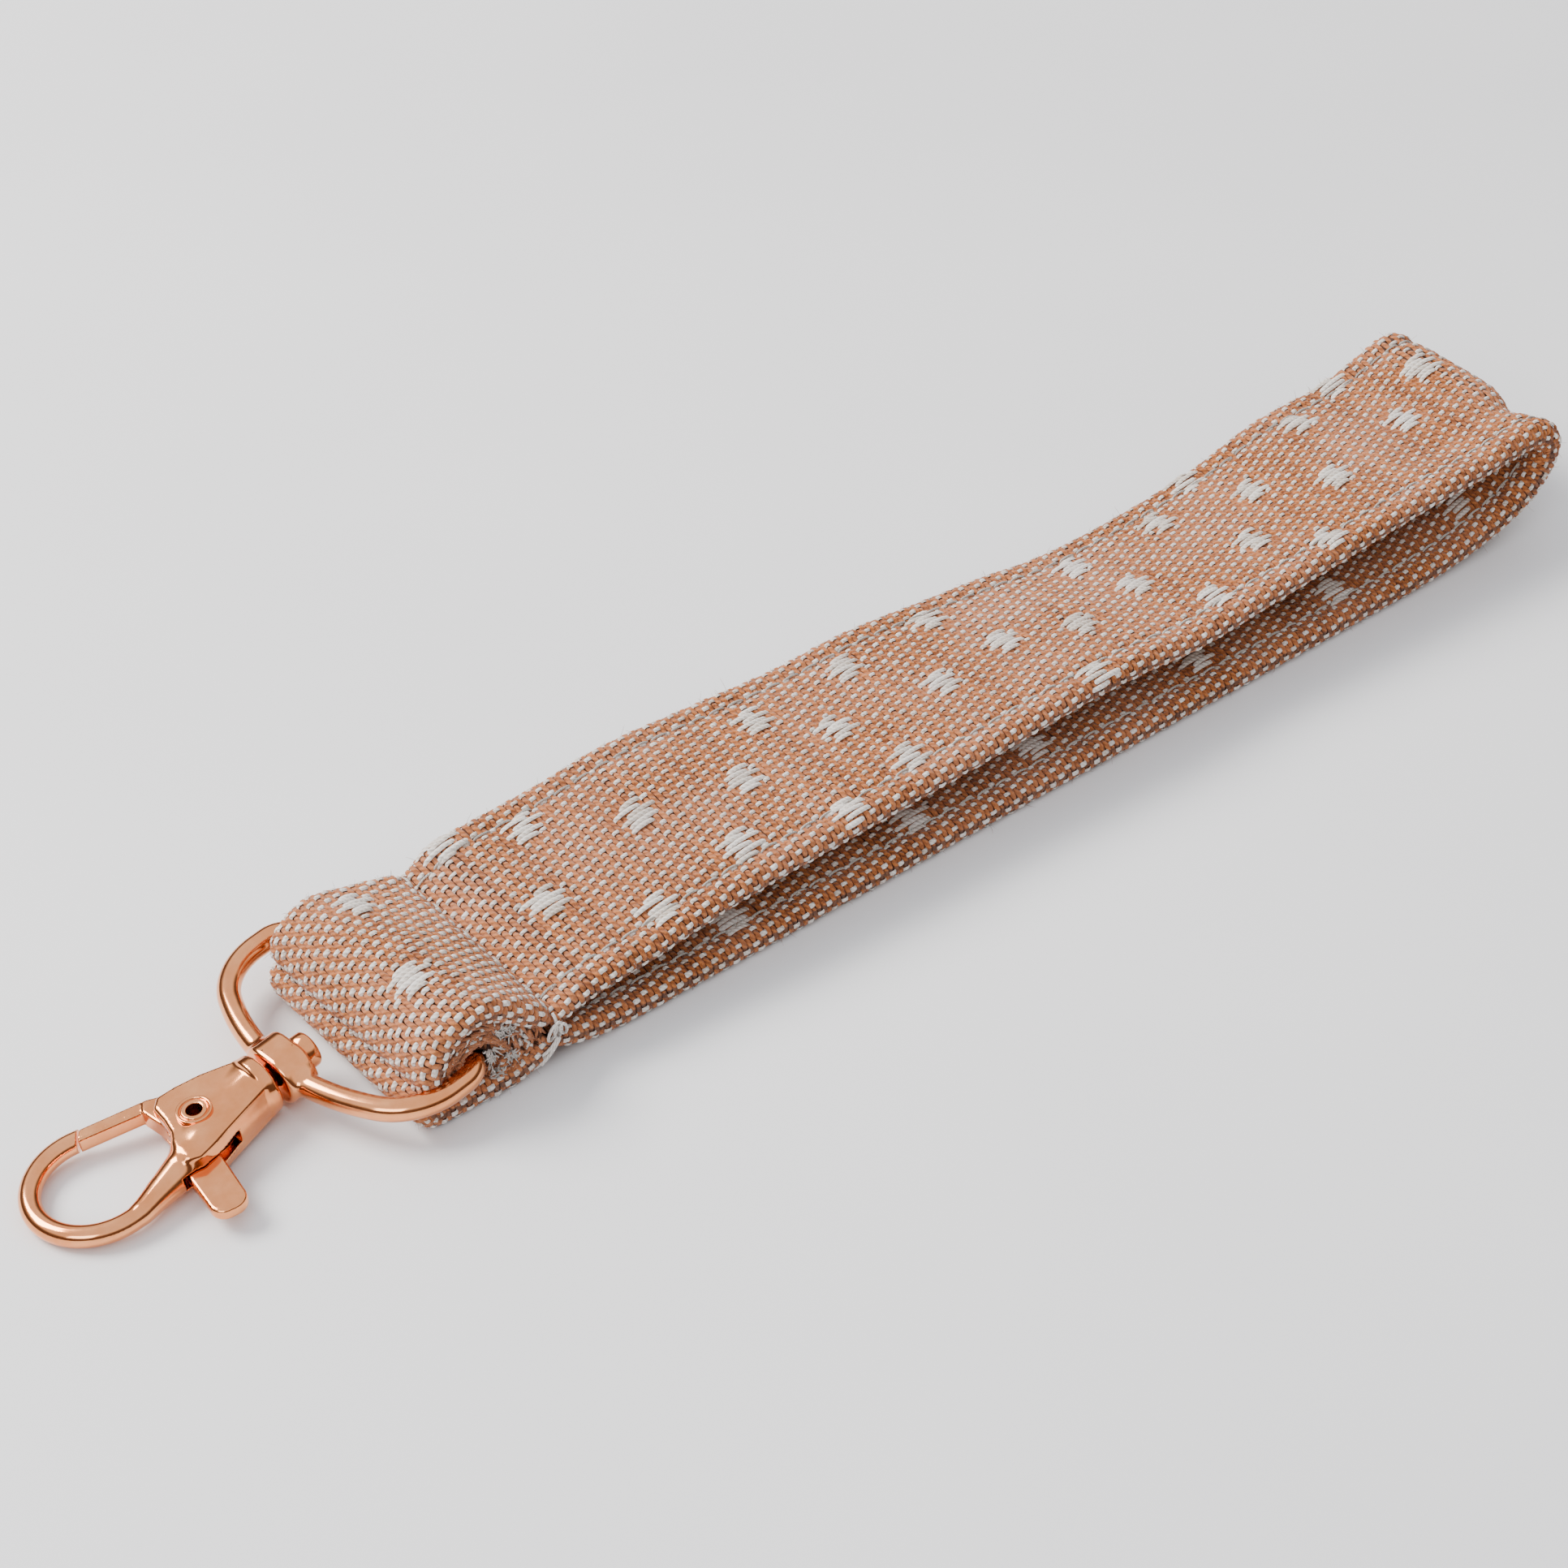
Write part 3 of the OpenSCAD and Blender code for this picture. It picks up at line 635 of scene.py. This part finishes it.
for name, y in (("near_topstitching", -HALF_W + STITCH_IN), ("far_topstitching", HALF_W - STITCH_IN)):
    rows = slice(1, strap.picks - 1)
    points, faces, yarn = joined([stitch_row(*row_along(strap, y, top, rows), **TOPSTITCH)
                                  for top in (True, False)])
    finish_piece(mesh_object(name + "_thread", points, faces, THREAD, yarn),
                 replaces=[name])

y_line = np.linspace(-HALF_W + 0.6, HALF_W - 0.4, 40)
share = (y_line + HALF_W) / STRAP_W
throat_rows = []
for height, way in ((7.95 + 0.7 * share, 1), (2.3 + 0 * share, -1)):
    path = np.c_[-0.05 + 0.12 * np.sin(y_line), y_line, height]
    throat_rows.append(stitch_row(path, np.tile([0, 0, way], (40, 1)), **THROAT_STITCH))
points, faces, yarn = joined(throat_rows)
finish_piece(mesh_object("throat_thread", points, faces, THREAD, yarn),
             replaces=["throat_stitching"])

# The knot at the near end of the throat: its loops (x, z, half width, half height and lean) and
# its loose ends, each from a start to an end
KNOT_LOOPS = [(-0.5, 5.6, 0.45, 1.3, 0.25), (0.25, 5.7, 0.5, 1.4, -0.1), (1.0, 5.5, 0.45, 1.1, -0.35)]
KNOT_ENDS = [((0.2, -16.3, 4.6), (-2.1, -16.2, 2.9)), ((0.4, -16.4, 4.5), (-2.6, -16.5, 2.0)),
             ((0.1, -16.3, 6.9), (0.1, -15.7, 7.9))]
KNOT_THREAD_R = 0.2
knot_parts = []
for x, z, width, tall, lean in KNOT_LOOPS:
    a = np.linspace(-0.5 * math.pi, 1.4 * math.pi, 22)
    knot_parts.append(tube(np.c_[x + width * np.cos(a) + lean * np.sin(a),
                                 -HALF_W - 0.35 - 0.35 * np.sin(a), z + tall * np.sin(a)],
                           KNOT_THREAD_R))
for start, end in KNOT_ENDS:
    a = np.linspace(0, 1, 8)[:, None]
    bulge = -0.25 * np.sin(math.pi * a) * [0, 1, 0]
    knot_parts.append(tube(np.array(start) * (1 - a) + np.array(end) * a + bulge, KNOT_THREAD_R))
points, faces, yarn = joined(knot_parts)
finish_piece(mesh_object("thread_knot_loops", points, faces, WHITE, yarn),
             replaces=["thread_knot"])

# Loose fibres

def fibre_tubes(starts, directions, reach, radius, sides=3, curl=0.5):
    """Fine curved fibres: each leaves its start in its direction and bends as it goes."""
    parts = []
    for start, way, length in zip(starts, directions, reach):
        bend = random.normal(0, curl, 3)
        t = np.linspace(0, 1, 4)[:, None]
        path = start + length * (way * t + bend * t ** 2)
        parts.append(tube(path, radius * np.array([1, 1, 0.8, 0.5]), sides))
    return joined(parts)


def fuzz(band, name, count, from_edge, material_used, reach):
    """Fibres that stand out of a band of cloth near its two long edges."""
    near_edge = np.flatnonzero(np.abs(band.v) > HALF_W - from_edge)
    rows = random.integers(1, band.picks - 1, count)
    columns = near_edge[random.integers(0, len(near_edge), count)]
    normals = band.normal[rows, columns]
    ways = unit(normals + random.normal(0, 0.55, (count, 3)))
    starts = band.grid[rows, columns] + random.normal(0, 0.15, (count, 3))
    points, faces, yarn = fibre_tubes(starts, ways, random.uniform(*reach, count), 0.022)
    points[:, 2] = np.maximum(points[:, 2], 0.02)
    finish_piece(mesh_object(name, points, faces, material_used, yarn))


fuzz(strap, "strap_orange_fibres", 1500, 3.2, ORANGE, (0.3, 1.1))
fuzz(strap, "strap_white_fibres", 350, 3.2, WHITE, (0.3, 1.2))
fuzz(pocket, "pocket_fibres", 420, 4, ORANGE, (0.3, 1))

# The pocket's two ends, where the gathered cloth shows edge on, wound round the ring's bar

BAR_PLACE = (np.array(joints["d_ring_pivot"]["pos_m"]) - THROAT) / MM
BAR_WAY = np.array(joints["d_ring_pivot"]["axis"], float)
BAR_ROOM_R = 1.55
GATHER_INSET = 1.3
GATHER_PITCH = 1.7


def gathered_end(side):
    """The end face at the near side (-1) or the far one (1), as turns of cloth seen edge on."""
    bar = BAR_PLACE + BAR_WAY * (side * 15 - BAR_PLACE[1]) / BAR_WAY[1]
    line = smooth_line(POCKET_NEAR if side < 0 else POCKET_FAR, 5)
    along = unit(np.gradient(line, axis=0))
    inner = line + np.c_[along[:, 1], -along[:, 0]] * GATHER_INSET
    inner = inner[3:-3]
    inner = np.vstack([inner, inner[:1]])
    where = lengths(inner)
    inner = at_lengths(inner, where, np.linspace(0, where[-1], 97)[:-1])
    out = inner - bar[[0, 2]]
    reach = np.linalg.norm(out, axis=1, keepdims=True)
    steps = np.linspace(0, 1, 22)[None, :]
    r = BAR_ROOM_R + (np.maximum(reach, 1.9) - BAR_ROOM_R) * steps
    angle = np.arctan2(out[:, 1], out[:, 0])[:, None]
    ridge = np.cos(2 * math.pi * r / GATHER_PITCH + angle) * 0.32
    depth = 15.25 + ridge - 0.9 * np.exp(-((r - 1.6) / 1.2) ** 2) - 0.25 * steps
    depth = depth + random.normal(0, 0.03, depth.shape)
    way = out / reach
    points = np.stack([bar[0] + way[:, :1] * r, side * depth, bar[2] + way[:, 1:] * r], axis=-1)
    faces = grid_quads(*points.shape[:2], rows_close=True)
    return points, faces if side > 0 else faces[:, ::-1]


def gathered_yarns(points, side, count, length, radius):
    """Short yarns that lie along the turns of the gathered cloth."""
    rows = random.integers(0, points.shape[0], count)
    columns = random.integers(3, points.shape[1], count)
    starts = points[rows, columns]
    along = unit(points[(rows + 2) % points.shape[0], columns] - starts)
    ways = unit(along + random.normal(0, 0.35, (count, 3)) * [1, 0.25, 1] + [0, side * 0.08, 0])
    reach = random.uniform(*length, count)
    return fibre_tubes(starts - ways * reach[:, None] / 2, ways, reach, radius, 5, 0.12)


for side, name in ((-1, "near"), (1, "far")):
    face, face_quads = gathered_end(side)
    flat = face.reshape(-1, 3)
    # The gathered end faces take the dark core colour: painted shade among the turns and yarns.
    finish_piece(mesh_object(name + "_gathered_cloth", flat, face_quads, SHADE_CORE,
                             np.c_[flat[:, 0], flat[:, 2] / 9, flat[:, 2] * 0 + 0.5]))
    points, faces, yarn = gathered_yarns(face, side, 620, (0.9, 2), 0.26)
    finish_piece(mesh_object(name + "_gathered_orange_yarns", points, faces, ORANGE, yarn))
    points, faces, yarn = gathered_yarns(face, side, 110, (0.6, 1.1), 0.27)
    finish_piece(mesh_object(name + "_gathered_white_yarns", points, faces, WHITE, yarn))

# Tufts of white yarn at the near end of the pocket: x, z and length
TUFT_ROOT_Y, TUFT_LEAST_Y = -15.2, -15.9
FRAYED_TUFTS = [(-7.2, 9.1, 2), (-8.4, 6.7, 2.2), (-8.1, 3.1, 1.8), (-5.6, 8.1, 1.5), (-5.9, 5, 1.5)]
starts, ways, reach = [], [], []
for x, z, size in FRAYED_TUFTS:
    lean = random.normal(0, 0.5, 2)
    for _ in range(34):
        spread = random.normal(0, 0.26, 2)
        starts.append([x + spread[0], TUFT_ROOT_Y, z + spread[1]])
        ways.append([lean[0] + spread[0] * 1.2, -0.5, lean[1] + spread[1] * 1.2])
        reach.append(size * random.uniform(0.4, 0.62))
points, faces, yarn = fibre_tubes(np.array(starts), unit(np.array(ways)), reach, 0.12, 5)
points[:, 1] = np.maximum(points[:, 1], TUFT_LEAST_Y)
finish_piece(mesh_object("frayed_white_ends", points, faces, WHITE, yarn))

# Hardware, in the snap hook's own frame: x from the swivel hub along the hook, y to the side
# of the thumb tab and z up out of the upper cheek plate

HUB = np.array(joints["hook_swivel"]["pos_m"])
HOOK_X = -unit(np.array(joints["hook_swivel"]["axis"], float))
HOOK_Z = unit(np.array(joints["gate_pivot"]["axis"], float))
HOOK_Y = np.cross(HOOK_Z, HOOK_X)


def from_hook(points):
    """Points of the hook's frame in the drawing's frame."""
    in_row = HUB + np.asarray(points) @ np.array([HOOK_X, HOOK_Y, HOOK_Z]) * MM
    return (in_row - THROAT) / MM


def merged(a, b, k):
    """The distance to two solids with the corner between them filled over k millimetres."""
    h = np.clip(0.5 + (b - a) / (2 * k), 0, 1)
    return b + (a - b) * h - k * h * (1 - h)


def carved(a, b, k=0.12):
    """Solid a with solid b cut away."""
    return -merged(-a, b, k)


def rod_distance(p, a, b, r_a, r_b):
    """A rod from a to b with round ends, and its radius at each."""
    a, b = np.resize([*a, 0.0], 3), np.resize([*b, 0.0], 3)
    t = np.clip((p - a) @ (b - a) / ((b - a) @ (b - a)), 0, 1)
    return np.linalg.norm(p - a - t[..., None] * (b - a), axis=-1) - r_a - (r_b - r_a) * t


def bend_distance(p, centre, radius, first, last, r):
    """A round bar bent on an arc, with the angles of its two ends in degrees."""
    q = p[..., :2] - np.array(centre)
    middle, half = math.radians((first + last) / 2), math.radians((last - first) / 2)
    angle = (np.arctan2(q[..., 1], q[..., 0]) - middle + math.pi) % (2 * math.pi) - math.pi
    angle = np.clip(angle, -half, half) + middle
    near = radius * np.stack([np.cos(angle), np.sin(angle)], axis=-1)
    return np.sqrt(((q - near) ** 2).sum(axis=-1) + p[..., 2] ** 2) - r


def outline_distance(q, outline):
    """The distance to a polygon in a plane, below zero inside it."""
    best = np.full(q.shape[:-1], 1e9)
    inside = np.zeros(q.shape[:-1], bool)
    points = np.array(outline, float)
    for a, b in zip(points, np.roll(points, -1, axis=0)):
        t = np.clip((q - a) @ (b - a) / ((b - a) @ (b - a)), 0, 1)
        best = np.minimum(best, np.linalg.norm(q - a - t[..., None] * (b - a), axis=-1))
        if a[1] != b[1]:
            at_x = a[0] + (q[..., 1] - a[1]) / (b[1] - a[1]) * (b[0] - a[0])
            inside ^= ((a[1] > q[..., 1]) != (b[1] > q[..., 1])) & (q[..., 0] < at_x)
    return np.where(inside, -best, best)


def solid_between(flat, low, high, height, edge_r):
    """A flat distance carried between two heights, with its edges rounded."""
    along = np.abs(height - (low + high) / 2) - (high - low) / 2
    w = np.stack([flat + edge_r, along + edge_r], axis=-1)
    return np.minimum(w.max(axis=-1), 0) + np.linalg.norm(np.maximum(w, 0), axis=-1) - edge_r


def plate_distance(p, outline, corner_r, half_h, edge_r):
    return solid_between(outline_distance(p[..., :2], outline) - corner_r, -half_h, half_h,
                         p[..., 2], edge_r)


def disc_distance(p, x, y, r, low, high, edge_r=0.1):
    return solid_between(np.hypot(p[..., 0] - x, p[..., 1] - y) - r, low, high, p[..., 2], edge_r)


def box_distance(p, low, high):
    q = np.maximum(np.array(low) - p, p - np.array(high))
    return np.minimum(q.max(axis=-1), 0) + np.linalg.norm(np.maximum(q, 0), axis=-1)


# The D ring: its wire, half its width, how far its bar lies from the hub, and its bends
WIRE_R, RING_HALF_W, RING_DEPTH, CORNER_R = 1.45, 18.15, 15.2, 3.0
SHOULDER_R, SHOULDER_X = 8.5, 4.5
SHOULDER_Y = RING_HALF_W - SHOULDER_R


def ring_distance(p):
    """The D ring: the bow in front, two shoulders, the bar in the cloth and the swivel's hub."""
    front_gap = RING_DEPTH - SHOULDER_X
    front_r = (front_gap ** 2 + SHOULDER_Y ** 2 - SHOULDER_R ** 2) / (2 * (front_gap - SHOULDER_R))
    front_angle = math.degrees(math.atan2(SHOULDER_Y, front_r - front_gap))
    d = bend_distance(p, (-front_r, 0), front_r, -front_angle, front_angle, WIRE_R)
    for side in (-1, 1):
        shoulder = (SHOULDER_X - RING_DEPTH, side * SHOULDER_Y)
        corner = (CORNER_R - RING_DEPTH, side * (RING_HALF_W - CORNER_R))
        turn = (front_angle, 90) if side > 0 else (-90, -front_angle)
        d = np.minimum(d, bend_distance(p, shoulder, SHOULDER_R, *turn, WIRE_R))
        d = np.minimum(d, rod_distance(p, (shoulder[0], side * RING_HALF_W),
                                       (corner[0], side * RING_HALF_W), WIRE_R, WIRE_R))
        turn = (90, 180) if side > 0 else (180, 270)
        d = np.minimum(d, bend_distance(p, corner, CORNER_R, *turn, WIRE_R))
    bar_half = RING_HALF_W - CORNER_R
    d = np.minimum(d, rod_distance(p, (-RING_DEPTH, -bar_half), (-RING_DEPTH, bar_half), WIRE_R, WIRE_R))
    oblong = np.hypot(np.maximum(np.abs(p[..., 1]) - 1.1, 0), p[..., 2]) - 3.2
    d = merged(d, solid_between(oblong, -2.3, 1.8, p[..., 0], 0.6), 0.9)
    return carved(d, np.hypot(p[..., 1], p[..., 2]) - 1.6)


RIVET_X = 11.8
BORE_R = 1.55
BOW_CENTRE, BOW_R, BOW_WIRE_R = (24.6, -2.4), 7.45, 1.3
RIDGE_START, RIDGE_END, RIDGE_R = (13.2, 2.6), (23.6, 4.95), 2.8
# The lever's room between the cheeks and its narrower mouth beside the tab: each box with its
# low corner, high corner and half height
SLOT_R, SLOT_HALF_H, MOUTH_HALF_H = 3.9, 1.4, 0.95
SLOT_BOXES = [((7.4, -9), (14.6, 3), SLOT_HALF_H), ((14, -9), (15.4, -1.6), SLOT_HALF_H),
              ((9.5, 2.9), (14.6, 9), MOUTH_HALF_H), ((14, 3), (18.2, 9.5), MOUTH_HALF_H)]
CHEEK = [(4.4, -2.4), (8, -3.8), (11, -4.5), (13, -4.7), (13.8, -4), (14.1, -1.9), (14.7, 0.3),
         (15.6, 1.8), (16, 3), (15.9, 4.4), (15.2, 4.9), (14, 4.7), (9, 3.5), (4.4, 2.4)]


def body_distance(p):
    """The hook's body: collar, neck, two cheek plates, ridge and bow."""
    d = plate_distance(p, CHEEK, 0.8, 2.75, 0.7)
    d = merged(d, rod_distance(p, RIDGE_START, RIDGE_END, RIDGE_R, BOW_WIRE_R), 1.2)
    neck = np.maximum(rod_distance(p, (3.4, 0), (9, 0), 3.4, 2.2), 2.9 - p[..., 0])
    d = merged(d, neck, 0.8)
    d = merged(d, rod_distance(p, (5.5, 1.3), RIDGE_START, 2.3, RIDGE_R), 0.8)
    d = merged(d, bend_distance(p, BOW_CENTRE, BOW_R, -112, 122, BOW_WIRE_R), 0.5)
    from_axis = np.hypot(p[..., 1], p[..., 2])
    d = merged(d, solid_between(from_axis - 3.8, 2.6, 4.4, p[..., 0], 0.5), 0.35)
    lip = rod_distance(p * [1, 1, 0.62], (13.6, -4.3), (14.3, -1.6), 1.0, 0.9)
    d = merged(d, np.maximum(lip, np.abs(p[..., 2]) - 2.8), 0.5)
    slot = disc_distance(p, RIVET_X, 0, SLOT_R, -SLOT_HALF_H, SLOT_HALF_H)
    for low, high, half in SLOT_BOXES:
        slot = np.minimum(slot, box_distance(p, (*low, -half), (*high, half)))
    d = carved(d, slot)
    from_rivet = np.hypot(p[..., 0] - RIVET_X, p[..., 1])
    d = carved(d, from_rivet - BORE_R)
    d = carved(d, np.maximum(from_axis - BORE_R, p[..., 0] - 7))
    # The bow's nose ends on an arc round the rivet, so the bar swings past it
    nose = np.maximum(from_rivet - 13.85, box_distance(p, (13.8, -20, -5), (33.8, -6, 5)))
    return carved(d, nose, 0.08)


# The lever's thumb tab, and its bar's arm
TAB = [(14.4, 3.9), (16.2, 11.4), (16.9, 11.2), (15.5, 4.6)]
ARM = [(9.4, -2.1), (10.6, -4.6), (12.6, -6.3), (14, -7), (14.7, -6), (14.4, -2)]


def gate_distance(p):
    """The gate lever: its hub in the slot, the closing bar and the thumb tab."""
    d = disc_distance(p, RIVET_X, 0, 3.6, -1.3, 1.3, 0.15)
    d = np.minimum(d, plate_distance(p, ARM, 0.4, 1.3, 0.3))
    bar = outline_distance(p[..., :2], [(13.6, -6.6), (23.8, -9.8), (23.9, -9.9), (13.7, -6.8)])
    bar = solid_between(bar - 0.85, -1.1, 1.1, p[..., 2], 0.45)
    from_rivet = np.hypot(p[..., 0] - RIVET_X, p[..., 1])
    d = merged(d, carved(bar, 13.6 - from_rivet, 0.1), 0.25)
    d = merged(d, plate_distance(p, TAB, 1.85, 0.8, 0.45), 0.2)
    d = carved(d, from_rivet - 1.6, 0.05)
    recess = np.minimum(disc_distance(p, RIVET_X, 0, 2.5, -0.2, 4, 0.02),
                        box_distance(p, (6.8, -3.3, -0.2), (10.8, 1, 4)))
    return carved(d, recess, 0.05)


def skin(distance, low, high, step):
    """A closed skin of quads round the solid where the distance is below zero."""
    axes = [np.arange(a, b + step, step) for a, b in zip(low, high)]
    inside = np.stack([distance(np.stack(np.meshgrid([x], axes[1], axes[2], indexing="ij"), -1))[0] < 0
                       for x in axes[0]])
    count = sum(inside[i:i - 1 or None, j:j - 1 or None, k:k - 1 or None].astype(int)
                for i in (0, 1) for j in (0, 1) for k in (0, 1))
    mixed = (count > 0) & (count < 8)
    number = np.full(mixed.shape, -1)
    number[mixed] = np.arange(mixed.sum())
    quads = []
    for a in range(3):
        b, c = (a + 1) % 3, (a + 2) % 3
        first, second = [slice(1, -1)] * 3, [slice(1, -1)] * 3
        first[a], second[a] = slice(0, -1), slice(1, None)
        here, there = inside[tuple(first)], inside[tuple(second)]
        for hit, order in ((here & ~there, 1), (there & ~here, -1)):
            at = np.argwhere(hit)
            at[:, [b, c]] += 1
            around = []
            for back_b, back_c in ((0, 0), (1, 0), (1, 1), (0, 1)):
                cell = at.copy()
                cell[:, b] -= back_b
                cell[:, c] -= back_c
                around.append(number[tuple(cell.T)])
            quads.append(np.stack(around[::order], axis=1))
    points = np.array(low) + (np.argwhere(mixed) + 0.5) * step
    for _ in range(4):
        slope = np.stack([distance(points + small) - distance(points - small)
                          for small in 0.01 * np.eye(3)], axis=-1)
        points = points - unit(slope) * distance(points)[:, None]
    return points, np.vstack(quads)


def turned(profile, sides=72, capped=False):
    """A turned part from its profile of distance along the axis and radius."""
    profile = np.array(profile, float)
    angle = np.arange(sides) * 2 * math.pi / sides
    points = np.stack([np.broadcast_to(profile[:, :1], (len(profile), sides)),
                       profile[:, 1:] * np.cos(angle), profile[:, 1:] * np.sin(angle)], axis=-1)
    faces = grid_quads(len(profile), sides, columns_close=True)
    if capped:
        strip = np.arange(sides // 2 - 1)
        cap = np.stack([strip, strip + 1, sides - 2 - strip, sides - 1 - strip], axis=-1)
        faces = np.vstack([faces, cap[:, ::-1], cap + (len(profile) - 1) * sides])
    return points.reshape(-1, 3), faces


def rounded(corners, r, steps=5):
    """A closed profile with each corner rounded by r."""
    corners = np.array(corners, float)
    made = []
    for before, at, after in zip(np.roll(corners, 1, axis=0), corners, np.roll(corners, -1, axis=0)):
        start, end = at + unit(before - at) * r, at + unit(after - at) * r
        for t in np.linspace(0, 1, steps):
            made.append(start * (1 - t) ** 2 + at * 2 * t * (1 - t) + end * t ** 2)
    return made + made[:1]


SKIN_STEP = 0.17
for name, distance, low, high, body in (
        ("d_ring", ring_distance, (-17.2, -20.2, -3.6), (2.2, 20.2, 3.6), "ring"),
        ("hook_body", body_distance, (2.2, -12.4, -4.4), (34, 8.6, 4.4), "hook"),
        ("gate_lever", gate_distance, (7.6, -12.4, -1.8), (25.6, 14.2, 1.8), "gate")):
    points, faces = skin(distance, low, high, SKIN_STEP)
    finish_piece(mesh_object(name + "_cast", from_hook(points), faces, ROSE_GOLD),
                 body=body, replaces=[name])

# The swivel pin: a head with a rounded edge behind the ring's hub, and a shank into the collar
HEAD_R, HEAD_TOP, HEAD_LOW, HEAD_EDGE = 2.25, -4.4, -2.4, 0.5
SHANK_R, SHANK_END = 1.5, 6.9
PIN = [(HEAD_TOP + HEAD_EDGE * (1 - math.cos(turn)), HEAD_R - HEAD_EDGE * (1 - math.sin(turn)))
       for turn in np.radians(range(0, 91, 15))]
PIN += [(HEAD_LOW - 0.3, HEAD_R), (HEAD_LOW, HEAD_R - 0.3), (HEAD_LOW, SHANK_R), (SHANK_END, SHANK_R)]
points, faces = turned(PIN, capped=True)
finish_piece(mesh_object("swivel_pin_turned", from_hook(points), faces, ROSE_GOLD),
             body="hook", replaces=["swivel_pin"])

# The hollow rivet has a round flange, a groove and the rim of its tube on each side
RIM = [(1.8, 1.5), (2.78, 1.5), (2.78, 2.1), (3.25, 2.1), (3.25, 1.8), (2.95, 1.62), (3.25, 1.44),
       (3.2, 0.95)]
OTHER_RIM = [(-x, r) for x, r in reversed(RIM)]
points, faces = turned(rounded(RIM + OTHER_RIM, 0.1, 4))
finish_piece(mesh_object("pivot_rivet_turned", from_hook(np.c_[RIVET_X + points[:, 1], points[:, 2],
                                                               points[:, 0]]), faces, ROSE_GOLD),
             body="hook", replaces=["pivot_rivet"])
spring = frame["nodes"]["gate_spring"]
spring.data.materials.clear()
spring.data.materials.append(STEEL)

# Floor, light and camera

FLOOR_HALF = 1.6
floor_mesh = bpy.data.meshes.new("floor")
corners = [(-FLOOR_HALF, -FLOOR_HALF, 0), (FLOOR_HALF, -FLOOR_HALF, 0),
           (FLOOR_HALF, FLOOR_HALF, 0), (-FLOOR_HALF, FLOOR_HALF, 0)]
floor_mesh.from_pydata(corners, [], [(0, 1, 2, 3)])
floor_mesh.materials.append(floor_material())
floor = bpy.data.objects.new("floor", floor_mesh)
bpy.context.scene.collection.objects.link(floor)

SKY_STRENGTH = 1.42
world = bpy.data.worlds.new("studio")
bpy.context.scene.world = world
world.use_nodes = True
sky_tree = world.node_tree
direction = add_node(sky_tree, "ShaderNodeTexCoord", {}).outputs["Generated"]
height = add_node(sky_tree, "ShaderNodeSeparateXYZ", {0: direction}).outputs["Z"]
sky = ramp(sky_tree, height, [(0, (0.1, 0.07, 0.06)), (0.36, (0.12, 0.1, 0.09)),
                              (0.56, (0.93, 0.92, 0.92)), (0.75, (0.86, 0.88, 0.93))])
background = sky_tree.nodes["Background"]
sky_tree.links.new(sky, background.inputs["Color"])
background.inputs["Strength"].default_value = SKY_STRENGTH


def area_light(name, place, aim, size, power, colour):
    light = bpy.data.lights.new(name, "AREA")
    light.shape = "RECTANGLE"
    light.size, light.size_y = size
    light.energy = power
    light.color = colour
    obj = bpy.data.objects.new(name, light)
    bpy.context.scene.collection.objects.link(obj)
    obj.location = place
    obj.rotation_euler = (Vector(aim) - Vector(place)).to_track_quat("-Z", "Y").to_euler()


area_light("window", (-0.45, 0.6, 0.75), (0, 0, 0), (0.6, 0.45), 18, (1, 0.97, 0.93))
area_light("fill", (-0.75, -0.35, 0.5), (0, 0, 0), (0.5, 0.3), 3, (0.9, 0.95, 1))

LENS = 74.6
CAMERA_PLACE = (-0.2022, -0.25605, 0.2553)
HEADING, TILT, ROLL = math.radians(52.89), math.radians(37.78), math.radians(-2.57)
forward = Vector((math.cos(TILT) * math.cos(HEADING), math.cos(TILT) * math.sin(HEADING),
                  -math.sin(TILT)))
right = forward.cross(Vector((0, 0, 1))).normalized()
upward = right.cross(forward)
camera_data = bpy.data.cameras.new("camera")
camera_data.lens = LENS
camera_data.sensor_width = 36
camera = bpy.data.objects.new("camera", camera_data)
bpy.context.scene.collection.objects.link(camera)
camera.matrix_world = Matrix.Translation(CAMERA_PLACE) @ Matrix((
    right * math.cos(ROLL) + upward * math.sin(ROLL),
    upward * math.cos(ROLL) - right * math.sin(ROLL),
    -forward)).transposed().to_4x4()
bpy.context.scene.camera = camera
